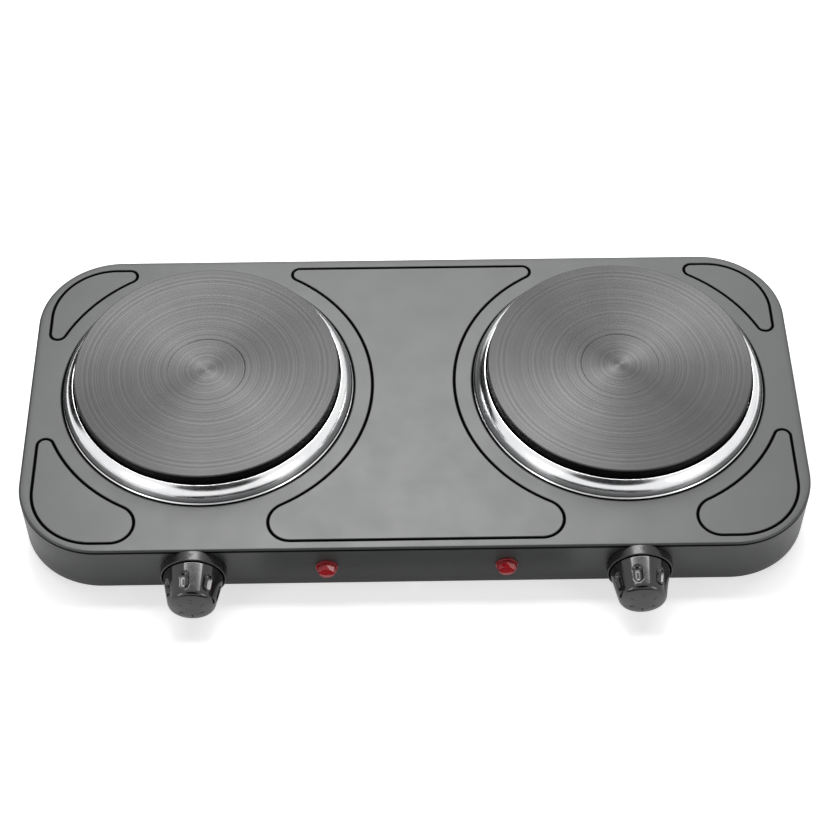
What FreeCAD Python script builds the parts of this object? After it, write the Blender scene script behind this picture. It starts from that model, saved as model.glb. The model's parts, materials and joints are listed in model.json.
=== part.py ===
import FreeCAD, Part
import math
import os

# Table-top double electric hot plate: a pressed steel housing with two cast-iron solid
# hotplates in chromed trim rings, two front knobs that turn cam regulators, and two neon lamps.
#
# Frame: +X to the right of the cook, +Y to the back, +Z up. Millimetres.
# Origin: centre of the overall footprint (knob fronts to cord gland), on the table.
# Front pieces are first drawn on a wall frame: x right, y up, z out of the wall.

V = FreeCAD.Vector
UP = V(0, 0, 1)

# ---------------------------------------------------------------- driving dimensions
SIDES = (("left", -1), ("right", 1))

BODY_W = 540.0
BODY_D = 257.0
WALL_H = 42.0
CORNER_R = 57.5
EDGE_R = 1.6
SHEET = 0.8
FLANGE_W = 9.0

FOOT_H = 7.0
BASE_T = 1.0
BASE_INSET = 2.0

PLATE_R = 92.5
PLATE_RISE = 19.5
RING_X = 144.6
RING_BACK = 10.7

KNOB_X = 150.0
KNOB_REACH = 32.3
COLLAR_R = 22.2
LAMP_X = 60.5
GLAND_REACH = 9.3

KNOB_TRAVEL_DEG = 300.0
CAM_R = 6.5
CAM_LIFT = 1.0

RUN_GAP = 0.05
FREE_GAP = 0.1

# ---------------------------------------------------------------- main levels and centres
BASE_Z = FOOT_H
WALL_Z = BASE_Z + BASE_T
TOP_Z = WALL_Z + WALL_H
UNDER_TOP = TOP_Z - SHEET
BODY_Y = (KNOB_REACH - GLAND_REACH) / 2
FRONT_Y = BODY_Y - BODY_D / 2
BACK_Y = BODY_Y + BODY_D / 2
PLATE_Y = BODY_Y + RING_BACK
KNOB_Z = TOP_Z - COLLAR_R - FREE_GAP
LAMP_Z = WALL_Z + WALL_H / 2

# ---------------------------------------------------------------- housing features
HOLE_R = 95.0
GROOVE_W = 2.2
GROOVE_DEPTH = 0.9
BEAD_WALL = 0.8
GROOVE_SIDE = 9.2
GROOVE_BACK = 8.2
GROOVE_FRONT = 7.1
GROOVE_RING_R = 115.7
GROOVE_CORNER_R = 44.0
LOBE_R = 15.6
TIP_R = 5.7
SPINDLE_HOLE_R = 5.5
REGULATOR_PITCH = 28.0
REGULATOR_HOLE_R = 2.2
LAMP_HOLE_R = 5.1
GLAND_HOLE_R = 7.9
GLAND_Z = 25.0

BASE_SCREW_X = (-200.0, 0.0, 200.0)
BASE_SCREW_INSET = 5.3
BASE_SCREW_R = 1.45
BASE_SCREW_HEAD_R = 3.25
BASE_SCREW_HEAD_T = 1.8
BASE_SCREW_L = 6.0

FOOT_X = 215.0
FOOT_IN_Y = 95.0
FOOT_R = 11.0
FOOT_TOP_R = 9.5
FOOT_BORE_R = 5.0
FOOT_BORE_H = 4.2
FOOT_EDGE = 1.0
FOOT_SCREW_R = 2.0
FOOT_SCREW_HEAD_R = 4.0
FOOT_SCREW_HEAD_T = 2.2
FOOT_SCREW_TOP = 12.5
BOSS_R = 4.0
BOSS_H = 3.0

VENT_COUNT = 7
VENT_PITCH = 14.0
VENT_W = 4.0
VENT_L = 50.0

# ---------------------------------------------------------------- trim ring, hotplate, heater
RING_R = 102.3
RING_T = 0.6
RING_LIP_R = 94.2
RING_LIP_H = 11.9
RING_WALL_R = 93.3
RING_SEAT_R = 86.0
RING_SEAT_H = 1.6
RING_FOOT = ((0.0, 0.0), (0.0, 0.35), (0.72, 0.95))
RING_NOSE = ((3.28, 7.68), (7.7, 11.8))
RING_INNER_DROP = 0.9
RING_BEND = 0.3

PLATE_EDGE_R = 1.2
PLATE_SKIRT_R = 84.5
PLATE_SKIN = 8.0
RECESS_R = 27.0
RECESS_D = 0.5
BOSS_PLATE_R = 9.0
BOSS_PLATE_Z = 3.0
RIB_RADII = (30.0, 44.0, 58.0, 72.0)
RIB_W = 3.0
RIB_H = 5.0

COIL_RADII = (37.0, 51.0, 65.0)
COIL_WIRE_R = 1.8
COIL_Z = 8.0
COIL_GAP_DEG = 15.0
PIN_R = 1.2
PIN_END_Z = 46.0
PIN_HOLE_R = 3.0
CEMENT_Z = 4.2
SHIELD_R = 84.0
SHIELD_Z = 3.2
SHIELD_T = 0.8

STUD_R = 3.0
STUD_LOW_Z = 37.0
STUD_SEAT = 8.0
NUT_H = 5.0
NUT_FLATS = 10.0
BRIDGE_W = 24.0
BRIDGE_T = 2.0
BRIDGE_HALF = 104.0
BRIDGE_STEP_OUT = 94.0
BRIDGE_STEP_IN = 86.0
BRIDGE_DROP = 3.2

# ---------------------------------------------------------------- knob, collar, spindle
COLLAR_FLANGE_T = 1.5
COLLAR_BORE_R = 20.9
COLLAR_H = 7.2
COLLAR_EDGE = 0.5
POINTER_W = 3.4
POINTER_T = 0.4
POINTER_L = 3.06
POINTER_START = 2.0

KNOB_BACK = 4.6
KNOB_SKIRT_R = 20.2
KNOB_SKIRT_TOP = 7.4
KNOB_TIP_R = 16.4
KNOB_TIP_L = 26.0
KNOB_ROUND = (15.1, 28.5)
KNOB_FACE = (12.8, 30.2)
KNOB_HUB_R = 6.2
KNOB_HOLLOW_R = 14.6
KNOB_HOLLOW_TIP_R = 12.4
KNOB_HOLLOW_TOP = 24.0
FLUTES = 7
FLUTE_TURN = 12.7
FLUTE_R = 4.6
FLUTE_OUT = 2.7
FLUTE_START = 17.2
FLUTE_END = 22.3

SPINDLE_R = 3.0
SPINDLE_FLAT = 1.6
KNOB_FLAT = 2.2
SPRING_T = 0.4
SPRING_W = 4.0
SPINDLE_TOP = 22.4
JOURNAL_R = 2.0
FLAT_START = 4.0

REGULATOR_SCREW_R = 1.9
REGULATOR_SCREW_HEAD_R = 3.5
REGULATOR_SCREW_HEAD_T = 2.4
REGULATOR_SCREW_END = -5.0

# ---------------------------------------------------------------- cam regulator (wall frame)
CASE_HALF_W = 20.0
CASE_LOW = -17.6
CASE_HIGH = 16.4
CASE_WALL = 2.5
CASE_FRONT_T = 5.0
CASE_BACK = -25.0
CAM_FRONT = -10.0
CAM_T = 4.0
CAM_RETURN_START = 310.0
CAM_RETURN_END = 350.0
CAM_STEPS = 36
CAM_GAP = 0.2
NOSE_R = 1.0
LEVER_DROP = 11.0
LEVER_ARM = 7.5
LEVER_T = 2.4
LEVER_W = 3.0
HUB_R = 3.2
PIVOT_R = 1.5
PIVOT_FRONT = -4.0
PIVOT_BACK = -24.0
BIMETAL_H = 9.6
BIMETAL_T = 0.6
BIMETAL_W = 6.0
BIMETAL_END = 12.0
BIMETAL_FOOT = 6.0
BLADE_XS = (-12.0, 0.0, 12.0)
BLADE_W = 6.3
BLADE_T = 0.8
BLADE_H = 9.0
BLADE_IN = -20.5
BLADE_OUT = -33.0

# ---------------------------------------------------------------- lamps, gland, terminals
LENS_R = 7.5
LENS_FLANGE_T = 1.2
LENS_WAIST = (6.9, 3.4)
LENS_REACH = 6.4
LENS_TOP_R = 5.2
LENS_BARREL_R = 5.0
LENS_BORE_R = 3.6
LENS_BACK = -16.0
LENS_FACETS = 8
LENS_MARGIN = 0.3
CLIP_R = 8.0
CLIP_T = 0.5
NEON_R = 2.8
NEON_BACK = -20.0

GLAND_FLANGE_R = 11.0
GLAND_FLANGE_T = 2.5
GLAND_NOSE_R = 7.0
GLAND_NOSE_TAPER = 1.0
GLAND_BORE_R = 3.7
GLAND_INSIDE = 12.0
GLAND_NUT_FLATS = 22.0
GLAND_NUT_T = 4.0

BLOCK_Y = 101.0
BLOCK_D = 17.0
BLOCK_HALF_W = 23.0
BLOCK_H = 14.0
BLOCK_WAYS = (-16.5, -5.5, 5.5, 16.5)
BLOCK_WAY_Z = 16.0
BLOCK_WAY_R = 3.4
CLAMP_SCREW_R = 2.0
CLAMP_SCREW_INSET = 4.5
BLOCK_SCREW_R = 1.5
EARTH_X = 42.0
EARTH_Y = 110.0
EARTH_R = 2.0
EARTH_TOP = 17.0
EARTH_HEAD_R = 3.8
EARTH_HEAD_T = 2.6
CROSS_SLOT = 0.28
CROSS_REACH = 0.62
CROSS_DEPTH = 0.55
HEAD_ROUND = 0.5
SCREW_SLOT_W = 0.6
SCREW_SLOT_D = 0.8

LEAD_R = 1.2
LAMP_LEAD_R = 0.9
BEND_SHARE = 0.45
BLADE_RUN = 18.0

# Route points of the leads on the right-hand side, from front to back or back to front.
SUPPLY_ROUTE = ((5.5, 84, 15), (9, 52, 13), (12, 8, 12), (23, -26, 12), (54, -46, 12), (92, -54, 15),
                (122, -56, 24))
SWITCHED_RISE = ((-3, 38, -12), (4, -20, -26), (0, 0, -18))
NEUTRAL_DROP = 16.0
NEUTRAL_ROUTE = ((112, -26, 20), (93, 2, 13), (67, 42, 12), (37, 74, 13), (18.2, 88, 16))
LAMP_LIVE_ROUTE = ((98, -58, 31), (132, -42, 36))
LAMP_LIVE_RUNS = (16.0, 24.0)
LAMP_NEUTRAL_ROUTE = ((52, -42, 26), (44, 0, 22), (34, 42, 18), (20, 76, 15.5), (14.8, 89, 16))
LAMP_NEUTRAL_RUN = (20.0, -1.0)


# ---------------------------------------------------------------- solid helpers
def box(x0, x1, y0, y1, z0, z1):
    """Box between two corners."""
    return Part.makeBox(x1 - x0, y1 - y0, z1 - z0, V(x0, y0, z0))


def rod(r, z0, z1, x=0.0, y=0.0):
    """Round bar along Z."""
    return Part.makeCylinder(r, z1 - z0, V(x, y, z0))


def tube(r_out, r_in, z0, z1, x=0.0, y=0.0):
    """Round tube along Z."""
    return rod(r_out, z0, z1, x, y).cut(rod(r_in, z0, z1, x, y))


def fuse_all(shapes):
    """One shape from several touching shapes."""
    return shapes[0].multiFuse(shapes[1:]).removeSplitter() if len(shapes) > 1 else shapes[0]


def group(shapes):
    """Several separate solids kept as one node."""
    return Part.makeCompound(shapes)


def turned(profile_edges):
    """Solid turned about the Z axis from closed edges drawn in the XZ plane."""
    wire = Part.Wire(Part.__sortEdges__(profile_edges))
    return Part.Face(wire).revolve(V(0, 0, 0), UP, 360)


def polyline(points):
    """Straight edges through points, open."""
    return [Part.makeLine(a, b) for a, b in zip(points[:-1], points[1:])]


def turned_polygon(points):
    """Solid turned about Z from a closed polygon of (radius, height) corners."""
    corners = [V(r, 0, z) for r, z in points]
    return turned(polyline(corners + corners[:1]))


def arc(a, mid, b):
    """Circular edge through three points."""
    return Part.Arc(a, mid, b).toShape()


def hexagon(flats, z0, z1):
    """Hexagonal bar along Z, by its width across flats."""
    radius = flats / math.sqrt(3)
    corners = [V(radius * math.cos(math.radians(60 * k)), radius * math.sin(math.radians(60 * k)), z0)
               for k in range(7)]
    return Part.Face(Part.makePolygon(corners)).extrude(UP * (z1 - z0))


def moved(shape, x=0.0, y=0.0, z=0.0):
    """Copy of a shape shifted to a place."""
    placed = shape.copy()
    placed.translate(V(x, y, z))
    return placed


def on_front(shape, x, z):
    """Turns a piece drawn on the wall frame so that it stands out of the front wall."""
    placed = shape.copy()
    placed.rotate(V(0, 0, 0), V(1, 0, 0), 90)
    placed.translate(V(x, FRONT_Y, z))
    return placed


def on_back(shape, x, z):
    """Turns a piece drawn on the wall frame so that it stands out of the rear wall."""
    placed = shape.copy()
    placed.rotate(V(0, 0, 0), V(1, 0, 0), -90)
    placed.translate(V(x, BACK_Y, z))
    return placed


def rounded_slab(width, depth, radius, z0, z1):
    """Upright-sided slab with rounded corners, centred on the housing."""
    hw, hd, mid = width / 2, depth / 2, radius * (1 - math.sqrt(0.5))
    edges = []
    for sx, sy in ((1, 1), (-1, 1), (-1, -1), (1, -1)):
        side = V(sx * hw, sy * (hd - radius), 0)
        end = V(sx * (hw - radius), sy * hd, 0)
        edges.append(arc(side, V(sx * (hw - mid), sy * (hd - mid), 0), end))
        across = V(-sx * (hw - radius), sy * hd, 0) if sy == sx else V(sx * hw, -sy * (hd - radius), 0)
        edges.append(Part.makeLine(end if sy == sx else side, across))
    face = Part.Face(Part.Wire(Part.__sortEdges__(edges)))
    return moved(face.extrude(UP * (z1 - z0)), 0, BODY_Y, z0)


def sweep_round(points, radius):
    """Round wire along straight runs joined by tangent arcs, each as large as its runs allow."""
    edges = []
    start = points[0]
    for before, corner, after in zip(points[:-2], points[1:-1], points[2:]):
        into = (corner - before).normalize()
        out = (after - corner).normalize()
        half_turn = into.getAngle(out) / 2
        reach = BEND_SHARE * min((corner - before).Length, (after - corner).Length)
        bend_start = corner - into * reach
        bend_end = corner + out * reach
        inward = (out - into).normalize()
        bend_r = reach / math.tan(half_turn)
        sag = bend_r / math.cos(half_turn) - bend_r
        edges.append(Part.makeLine(start, bend_start))
        edges.append(arc(bend_start, corner + inward * sag, bend_end))
        start = bend_end
    edges.append(Part.makeLine(start, points[-1]))
    path = Part.Wire(edges)
    heading = (points[1] - points[0]).normalize()
    section = Part.Wire(Part.makeCircle(radius, points[0], heading))
    return path.makePipeShell([section], True, True)


# ---------------------------------------------------------------- pressed grooves in the top
def corner_on_y(sx, line_y, fillet_r, ring_r):
    """Rounded corner between a groove line of constant y and the groove round the right hotplate.

    Returns the arc's end on the line, its middle, and its end on the ring groove. sx is the side
    of the hotplate's centre that the corner lies on.
    """
    centre_y = line_y - math.copysign(fillet_r, line_y - RING_BACK)
    run = math.sqrt((ring_r + fillet_r) ** 2 - (centre_y - RING_BACK) ** 2)
    centre = V(RING_X + sx * run, centre_y, 0)
    return rounded_corner(centre, V(centre.x, line_y, 0), fillet_r, ring_r)


def corner_on_x(line_x, sy, fillet_r, ring_r):
    """Rounded corner between the side groove line and the groove round the right hotplate."""
    centre_x = line_x - fillet_r
    rise = math.sqrt((ring_r + fillet_r) ** 2 - (centre_x - RING_X) ** 2)
    centre = V(centre_x, RING_BACK + sy * rise, 0)
    return rounded_corner(centre, V(line_x, centre.y, 0), fillet_r, ring_r)


def rounded_corner(centre, on_line, fillet_r, ring_r):
    """End on the line, middle and end on the ring groove of a corner arc about its centre."""
    hub = V(RING_X, RING_BACK, 0)
    on_ring = hub + (centre - hub).normalize() * ring_r
    tip = ((on_line - centre) + (on_ring - centre)).normalize()
    return on_line, centre + tip * fillet_r, on_ring


def ring_arc(a, b, ring_r):
    """Groove arc about the right hotplate between two points of it, the short way."""
    hub = V(RING_X, RING_BACK, 0)
    middle = ((a - hub) + (b - hub)).normalize()
    return arc(a, hub + middle * ring_r, b)


def mirror_x(points):
    """Points mirrored to the other side of the housing."""
    return [V(-p.x, p.y, p.z) for p in points]


def groove_lines(grow):
    """Side, back and front lines of the grooves, moved out by grow."""
    return (BODY_W / 2 - GROOVE_SIDE + grow,
            BODY_D / 2 - GROOVE_BACK + grow,
            -BODY_D / 2 + GROOVE_FRONT - grow)


def centre_outline(grow):
    """Outline of the panel between the hotplates, moved out by grow."""
    ring_r = GROOVE_RING_R - grow
    _, back, front = groove_lines(grow)
    back_corner = corner_on_y(-1, back, TIP_R + grow, ring_r)
    front_corner = corner_on_y(-1, front, LOBE_R + grow, ring_r)
    waist = V(RING_X - ring_r, RING_BACK, 0)
    edges = []
    for points in ((back_corner, front_corner, [waist]),
                   (mirror_x(back_corner), mirror_x(front_corner), mirror_x([waist]))):
        upper, lower, waists = points
        edges += [arc(*upper), arc(upper[2], waists[0], lower[2]), arc(*lower)]
    edges.append(Part.makeLine(back_corner[0], mirror_x(back_corner)[0]))
    edges.append(Part.makeLine(front_corner[0], mirror_x(front_corner)[0]))
    return edges


def corner_outline(sy, grow):
    """Outline of the right corner panel at the back (sy = 1) or the front (sy = -1)."""
    ring_r = GROOVE_RING_R - grow
    side, back, front = groove_lines(grow)
    line_y = back if sy > 0 else front
    inner = corner_on_y(1, line_y, (TIP_R if sy > 0 else LOBE_R) + grow, ring_r)
    outer = corner_on_x(side, sy, TIP_R + grow, ring_r)
    bend = GROOVE_CORNER_R + grow
    hub = V(side - bend, line_y - sy * bend, 0)
    on_side = V(side, hub.y, 0)
    on_line = V(hub.x, line_y, 0)
    diagonal = hub + V(1, sy, 0).normalize() * bend
    return [arc(*inner), arc(*outer), ring_arc(inner[2], outer[2], ring_r),
            Part.makeLine(outer[0], on_side), arc(on_side, diagonal, on_line),
            Part.makeLine(on_line, inner[0])]


def groove_bodies(width, z0, z1):
    """Bars of one width along every groove, between two levels."""
    bars = []
    outlines = [centre_outline, lambda grow: corner_outline(1, grow), lambda grow: corner_outline(-1, grow)]
    for outline in outlines:
        faces = [Part.Face(Part.Wire(Part.__sortEdges__(outline(grow)))) for grow in (width / 2, -width / 2)]
        bar = faces[0].cut(faces[1]).extrude(UP * (z1 - z0))
        bars.append(moved(bar, 0, BODY_Y, z0))
    mirrored = [bar.mirror(V(0, 0, 0), V(1, 0, 0)) for bar in bars[1:]]
    return bars + mirrored


# ---------------------------------------------------------------- housing, base, feet
def edge_rounded(slab, radius, level):
    """Slab with its upper rim rounded."""
    rim = [e for e in slab.Edges if all(abs(v.Point.z - level) < RUN_GAP for v in e.Vertexes)]
    return slab.makeFillet(radius, rim)


def knob_places():
    """Wall positions of the two knobs."""
    return [(s * KNOB_X, KNOB_Z) for _, s in SIDES]


def wall_cuts():
    """Round cutters for the holes in the front and rear walls."""
    reach = EDGE_R
    cuts = []
    for x, z in knob_places():
        cuts.append(on_front(rod(SPINDLE_HOLE_R, -reach, reach), x, z))
        for s in (-1, 1):
            screw = rod(REGULATOR_HOLE_R, -reach, reach, s * REGULATOR_PITCH / 2)
            cuts.append(on_front(screw, x, z))
    for _, s in SIDES:
        cuts.append(on_front(rod(LAMP_HOLE_R, -reach, reach), s * LAMP_X, LAMP_Z))
    cuts.append(on_back(rod(GLAND_HOLE_R, -reach, reach), 0, GLAND_Z))
    return cuts


def base_screw_places():
    """Plan positions of the screws that hold the base plate to the housing's flange."""
    reach = BODY_D / 2 - BASE_SCREW_INSET
    return [(x, BODY_Y + sy * reach) for x in BASE_SCREW_X for sy in (-1, 1)]


def foot_places():
    """Plan positions of the rubber feet."""
    return [(sx * FOOT_X, BODY_Y + sy * FOOT_IN_Y) for sx in (-1, 1) for sy in (-1, 1)]


def top_housing():
    """Pressed steel top and walls in one sheet, with an inward flange round the bottom."""
    outer = edge_rounded(rounded_slab(BODY_W, BODY_D, CORNER_R, WALL_Z, TOP_Z), EDGE_R, TOP_Z)
    inside = (BODY_W - 2 * SHEET, BODY_D - 2 * SHEET, CORNER_R - SHEET)
    inner = edge_rounded(rounded_slab(*inside, WALL_Z, UNDER_TOP), EDGE_R - SHEET, UNDER_TOP)
    narrow = [size - 2 * FLANGE_W for size in inside[:2]]
    opening = rounded_slab(*narrow, CORNER_R - SHEET - FLANGE_W, WALL_Z, WALL_Z + SHEET)
    flange = rounded_slab(*inside, WALL_Z, WALL_Z + SHEET).cut(opening)
    shell = outer.cut(inner)
    beads = groove_bodies(GROOVE_W + 2 * BEAD_WALL, UNDER_TOP - GROOVE_DEPTH, UNDER_TOP)
    shell = shell.multiFuse([flange] + beads)
    cuts = groove_bodies(GROOVE_W, TOP_Z - GROOVE_DEPTH, TOP_Z) + wall_cuts()
    cuts += [rod(HOLE_R, UNDER_TOP - EDGE_R, TOP_Z + EDGE_R, s * RING_X, PLATE_Y) for _, s in SIDES]
    cuts += [rod(BASE_SCREW_R + RUN_GAP, WALL_Z, WALL_Z + SHEET, x, y) for x, y in base_screw_places()]
    return shell.cut(cuts).removeSplitter()


def vent_slots():
    """Round-ended air slots under both hotplates."""
    slots = []
    half = VENT_L / 2 - VENT_W / 2
    for _, s in SIDES:
        for k in range(VENT_COUNT):
            x = s * RING_X + (k - (VENT_COUNT - 1) / 2) * VENT_PITCH
            bar = box(x - VENT_W / 2, x + VENT_W / 2, PLATE_Y - half, PLATE_Y + half, BASE_Z, WALL_Z)
            ends = [rod(VENT_W / 2, BASE_Z, WALL_Z, x, PLATE_Y + e * half) for e in (-1, 1)]
            slots.append(bar.multiFuse(ends).removeSplitter())
    return slots


def base_plate():
    """Flat steel base with vents, pressed screw bosses and screw holes."""
    slab = rounded_slab(BODY_W - 2 * BASE_INSET, BODY_D - 2 * BASE_INSET, CORNER_R - BASE_INSET,
                        BASE_Z, WALL_Z)
    bosses = [(x, y, FOOT_SCREW_R) for x, y in foot_places()]
    bosses += [(0, BLOCK_Y + BLOCK_D / 2, BLOCK_SCREW_R), (EARTH_X, EARTH_Y, EARTH_R)]
    stands = [rod(BOSS_R, WALL_Z, WALL_Z + BOSS_H, x, y) for x, y, _ in bosses]
    plate = slab.multiFuse(stands).removeSplitter()
    cuts = [rod(r + RUN_GAP, BASE_Z, WALL_Z + BOSS_H, x, y) for x, y, r in bosses]
    cuts += [rod(BASE_SCREW_R + RUN_GAP, BASE_Z, WALL_Z, x, y) for x, y in base_screw_places()]
    return plate.cut(cuts + vent_slots())


def cross_recess(radius, z0, z1):
    """Cutter for a cross slot in a screw head."""
    half = radius * CROSS_SLOT / 2
    reach = radius * CROSS_REACH
    return box(-reach, reach, -half, half, z0, z1).fuse(box(-half, half, -reach, reach, z0, z1))


def pan_screw(shank_r, head_r, head_t, length):
    """Screw with its head below z = 0 and its shank up along +Z, cross slot from below."""
    dome = rod(head_r, -head_t, 0)
    rim = [e for e in dome.Edges if all(abs(v.Point.z + head_t) < RUN_GAP for v in e.Vertexes)]
    dome = dome.makeFillet(head_t * HEAD_ROUND, [e for e in rim if e.Curve.TypeId == "Part::GeomCircle"])
    whole = dome.fuse(rod(shank_r, 0, length)).removeSplitter()
    return whole.cut(cross_recess(head_r, -head_t, -head_t * (1 - CROSS_DEPTH)))


def base_screws():
    """Self-tapping screws that hold the base plate."""
    screw = pan_screw(BASE_SCREW_R, BASE_SCREW_HEAD_R, BASE_SCREW_HEAD_T, BASE_SCREW_L)
    return group([moved(screw, x, y, BASE_Z) for x, y in base_screw_places()])


def rubber_feet():
    """Four tapered rubber feet, each with a counterbore for its screw."""
    foot = turned_polygon([(FOOT_SCREW_R + FREE_GAP, FOOT_BORE_H), (FOOT_BORE_R, FOOT_BORE_H),
                           (FOOT_BORE_R, 0), (FOOT_R - FOOT_EDGE, 0), (FOOT_R, FOOT_EDGE),
                           (FOOT_TOP_R, FOOT_H), (FOOT_SCREW_R + FREE_GAP, FOOT_H)])
    return group([moved(foot, x, y) for x, y in foot_places()])


def foot_screws():
    """Screws that hold the feet to the pressed bosses of the base plate."""
    screw = pan_screw(FOOT_SCREW_R, FOOT_SCREW_HEAD_R, FOOT_SCREW_HEAD_T, FOOT_SCREW_TOP - FOOT_BORE_H)
    return group([moved(screw, x, y, FOOT_BORE_H) for x, y in foot_places()])


# ---------------------------------------------------------------- hotplate and heater (z = 0 on the top)
def trim_ring():
    """Chromed sheet-metal ring: flared foot, bull-nosed skirt, raised lip, inner wall and plate seat."""
    foot = [V(RING_R - inward, 0, up) for inward, up in RING_FOOT]
    nose = [V(RING_R - inward, 0, up) for inward, up in RING_NOSE]
    crown = V(RING_LIP_R, 0, RING_LIP_H)
    inner_top = V(RING_WALL_R, 0, RING_LIP_H - RING_INNER_DROP)
    wall_end = V(RING_WALL_R, 0, RING_SEAT_H + RING_T)
    seat_bend = V(RING_WALL_R - RING_T * RING_BEND, 0, RING_SEAT_H + RING_T * RING_BEND)
    seat_start = V(RING_WALL_R - RING_T, 0, RING_SEAT_H)
    seat_end = V(RING_SEAT_R, 0, RING_SEAT_H)
    edges = polyline(foot) + [arc(foot[-1], *nose), arc(nose[-1], crown, inner_top)]
    edges += [Part.makeLine(inner_top, wall_end), arc(wall_end, seat_bend, seat_start),
              Part.makeLine(seat_start, seat_end)]
    upper = Part.Wire(edges)
    both = [upper.makeOffset2D(t, 2, False, True) for t in (RING_T, -RING_T)]
    lower = min(both, key=lambda wire: wire.BoundBox.XMax)
    ends = []
    for target in (foot[0], seat_end):
        near = min(lower.Vertexes, key=lambda v: v.Point.distanceToPoint(target))
        ends.append(Part.makeLine(target, near.Point))
    return turned(upper.Edges + lower.Edges + ends)


def coil_channels():
    """Rings between the ribs, as (inner radius, outer radius)."""
    edges = [BOSS_PLATE_R] + [r for rib in RIB_RADII for r in (rib - RIB_W / 2, rib + RIB_W / 2)]
    edges.append(PLATE_SKIRT_R)
    return list(zip(edges[0::2], edges[1::2]))


def coil_links(side, wire_r):
    """Radial bars that join the coil's arcs in series."""
    links = []
    for k, (inner, outer) in enumerate(zip(COIL_RADII[:-1], COIL_RADII[1:])):
        angle = math.radians((-1) ** (k + 1) * COIL_GAP_DEG - 90)
        aim = V(side * math.cos(angle), math.sin(angle), 0)
        level = V(0, 0, COIL_Z)
        links.append(Part.makeCylinder(wire_r, outer - inner, aim * inner + level, aim))
        links += [Part.makeSphere(wire_r, aim * radius + level) for radius in (inner, outer)]
    return links


def hotplate(side):
    """Cast-iron plate: turned top with a shallow centre recess, skirt, stud boss and coil ribs."""
    ceiling = PLATE_RISE - PLATE_SKIN
    skin = rod(PLATE_R, ceiling, PLATE_RISE)
    rim = [e for e in skin.Edges if e.BoundBox.ZMin > PLATE_RISE - RUN_GAP and e.BoundBox.XLength > 1]
    skin = skin.makeFillet(PLATE_EDGE_R, rim)
    skirt = tube(PLATE_R, PLATE_SKIRT_R, RING_SEAT_H, ceiling)
    boss = rod(BOSS_PLATE_R, BOSS_PLATE_Z, ceiling)
    ribs = [tube(r + RIB_W / 2, r - RIB_W / 2, ceiling - RIB_H, ceiling) for r in RIB_RADII]
    plate = skin.multiFuse([skirt, boss] + ribs).removeSplitter()
    recess = rod(RECESS_R, PLATE_RISE - RECESS_D, PLATE_RISE)
    stud_hole = rod(STUD_R + RUN_GAP, BOSS_PLATE_Z, BOSS_PLATE_Z + STUD_SEAT + FREE_GAP)
    return plate.cut([recess, stud_hole] + coil_links(side, COIL_WIRE_R + 2 * FREE_GAP))


def coil_ends(side):
    """Plan offsets of the coil's two pins, outer one first, mirrored for the left hotplate."""
    offsets = []
    for radius, turn in ((COIL_RADII[0], COIL_GAP_DEG), (COIL_RADII[-1], -COIL_GAP_DEG)):
        angle = math.radians(turn - 90)
        offsets.append((side * radius * math.cos(angle), radius * math.sin(angle)))
    return offsets


def coil(side, wire_r, pin_r, pin_low):
    """Heating conductor: three arcs joined in series, with a pin down at each end."""
    parts = []
    sweep = 360 - 2 * COIL_GAP_DEG
    for radius in COIL_RADII:
        ring = Part.makeTorus(radius, wire_r, V(0, 0, COIL_Z), UP, -180, 180, sweep)
        ring.rotate(V(0, 0, 0), UP, COIL_GAP_DEG - 90)
        parts.append(ring)
    parts += coil_links(1, wire_r)
    for x, y in coil_ends(1):
        parts.append(rod(pin_r, pin_low, COIL_Z, x, y))
        parts.append(Part.makeSphere(wire_r, V(x, y, COIL_Z)))
    whole = fuse_all(parts)
    return whole if side > 0 else whole.mirror(V(0, 0, 0), V(1, 0, 0))


def heating_coil(side):
    """Resistance conductor with its terminal pins."""
    return coil(side, COIL_WIRE_R, PIN_R, PIN_END_Z - TOP_Z)


def coil_cement(side):
    """Ceramic cement that packs the coil into the plate's channels."""
    ceiling = PLATE_RISE - PLATE_SKIN
    rings = [tube(outer - FREE_GAP, inner + FREE_GAP, CEMENT_Z, ceiling) for inner, outer in coil_channels()]
    bridge = tube(PLATE_SKIRT_R - FREE_GAP, BOSS_PLATE_R + FREE_GAP, CEMENT_Z, ceiling - RIB_H - FREE_GAP)
    mass = fuse_all([bridge] + rings)
    return mass.cut(coil(side, COIL_WIRE_R + FREE_GAP, PIN_R + FREE_GAP, CEMENT_Z))


def heat_shield(side):
    """Bright sheet disc that closes the hotplate's underside."""
    disc = tube(SHIELD_R, BOSS_PLATE_R + 1, SHIELD_Z, SHIELD_Z + SHIELD_T)
    return disc.cut([rod(PIN_HOLE_R, SHIELD_Z, SHIELD_Z + SHIELD_T, x, y) for x, y in coil_ends(side)])


def clamp_bridge():
    """Joggled steel strap that bears on the housing's underside and is pulled up by the stud."""
    top = -SHEET
    low = top - BRIDGE_DROP
    upper = [V(-BRIDGE_HALF, 0, top), V(-BRIDGE_STEP_OUT, 0, top), V(-BRIDGE_STEP_IN, 0, low),
             V(BRIDGE_STEP_IN, 0, low), V(BRIDGE_STEP_OUT, 0, top), V(BRIDGE_HALF, 0, top)]
    lower = [p - V(0, 0, BRIDGE_T) for p in reversed(upper)]
    outline = upper + lower + upper[:1]
    strap = Part.Face(Part.makePolygon(outline)).extrude(V(0, BRIDGE_W, 0))
    strap = moved(strap, 0, -BRIDGE_W / 2)
    return strap.cut(rod(STUD_R + FREE_GAP, low - 2 * BRIDGE_T, top))


def bridge_seat():
    """Level of the strap's underside at its middle, where the nut bears."""
    return -SHEET - BRIDGE_DROP - BRIDGE_T


def plate_stud():
    """Stud screwed into the hotplate's boss."""
    return rod(STUD_R, STUD_LOW_Z - TOP_Z, BOSS_PLATE_Z + STUD_SEAT)


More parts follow.
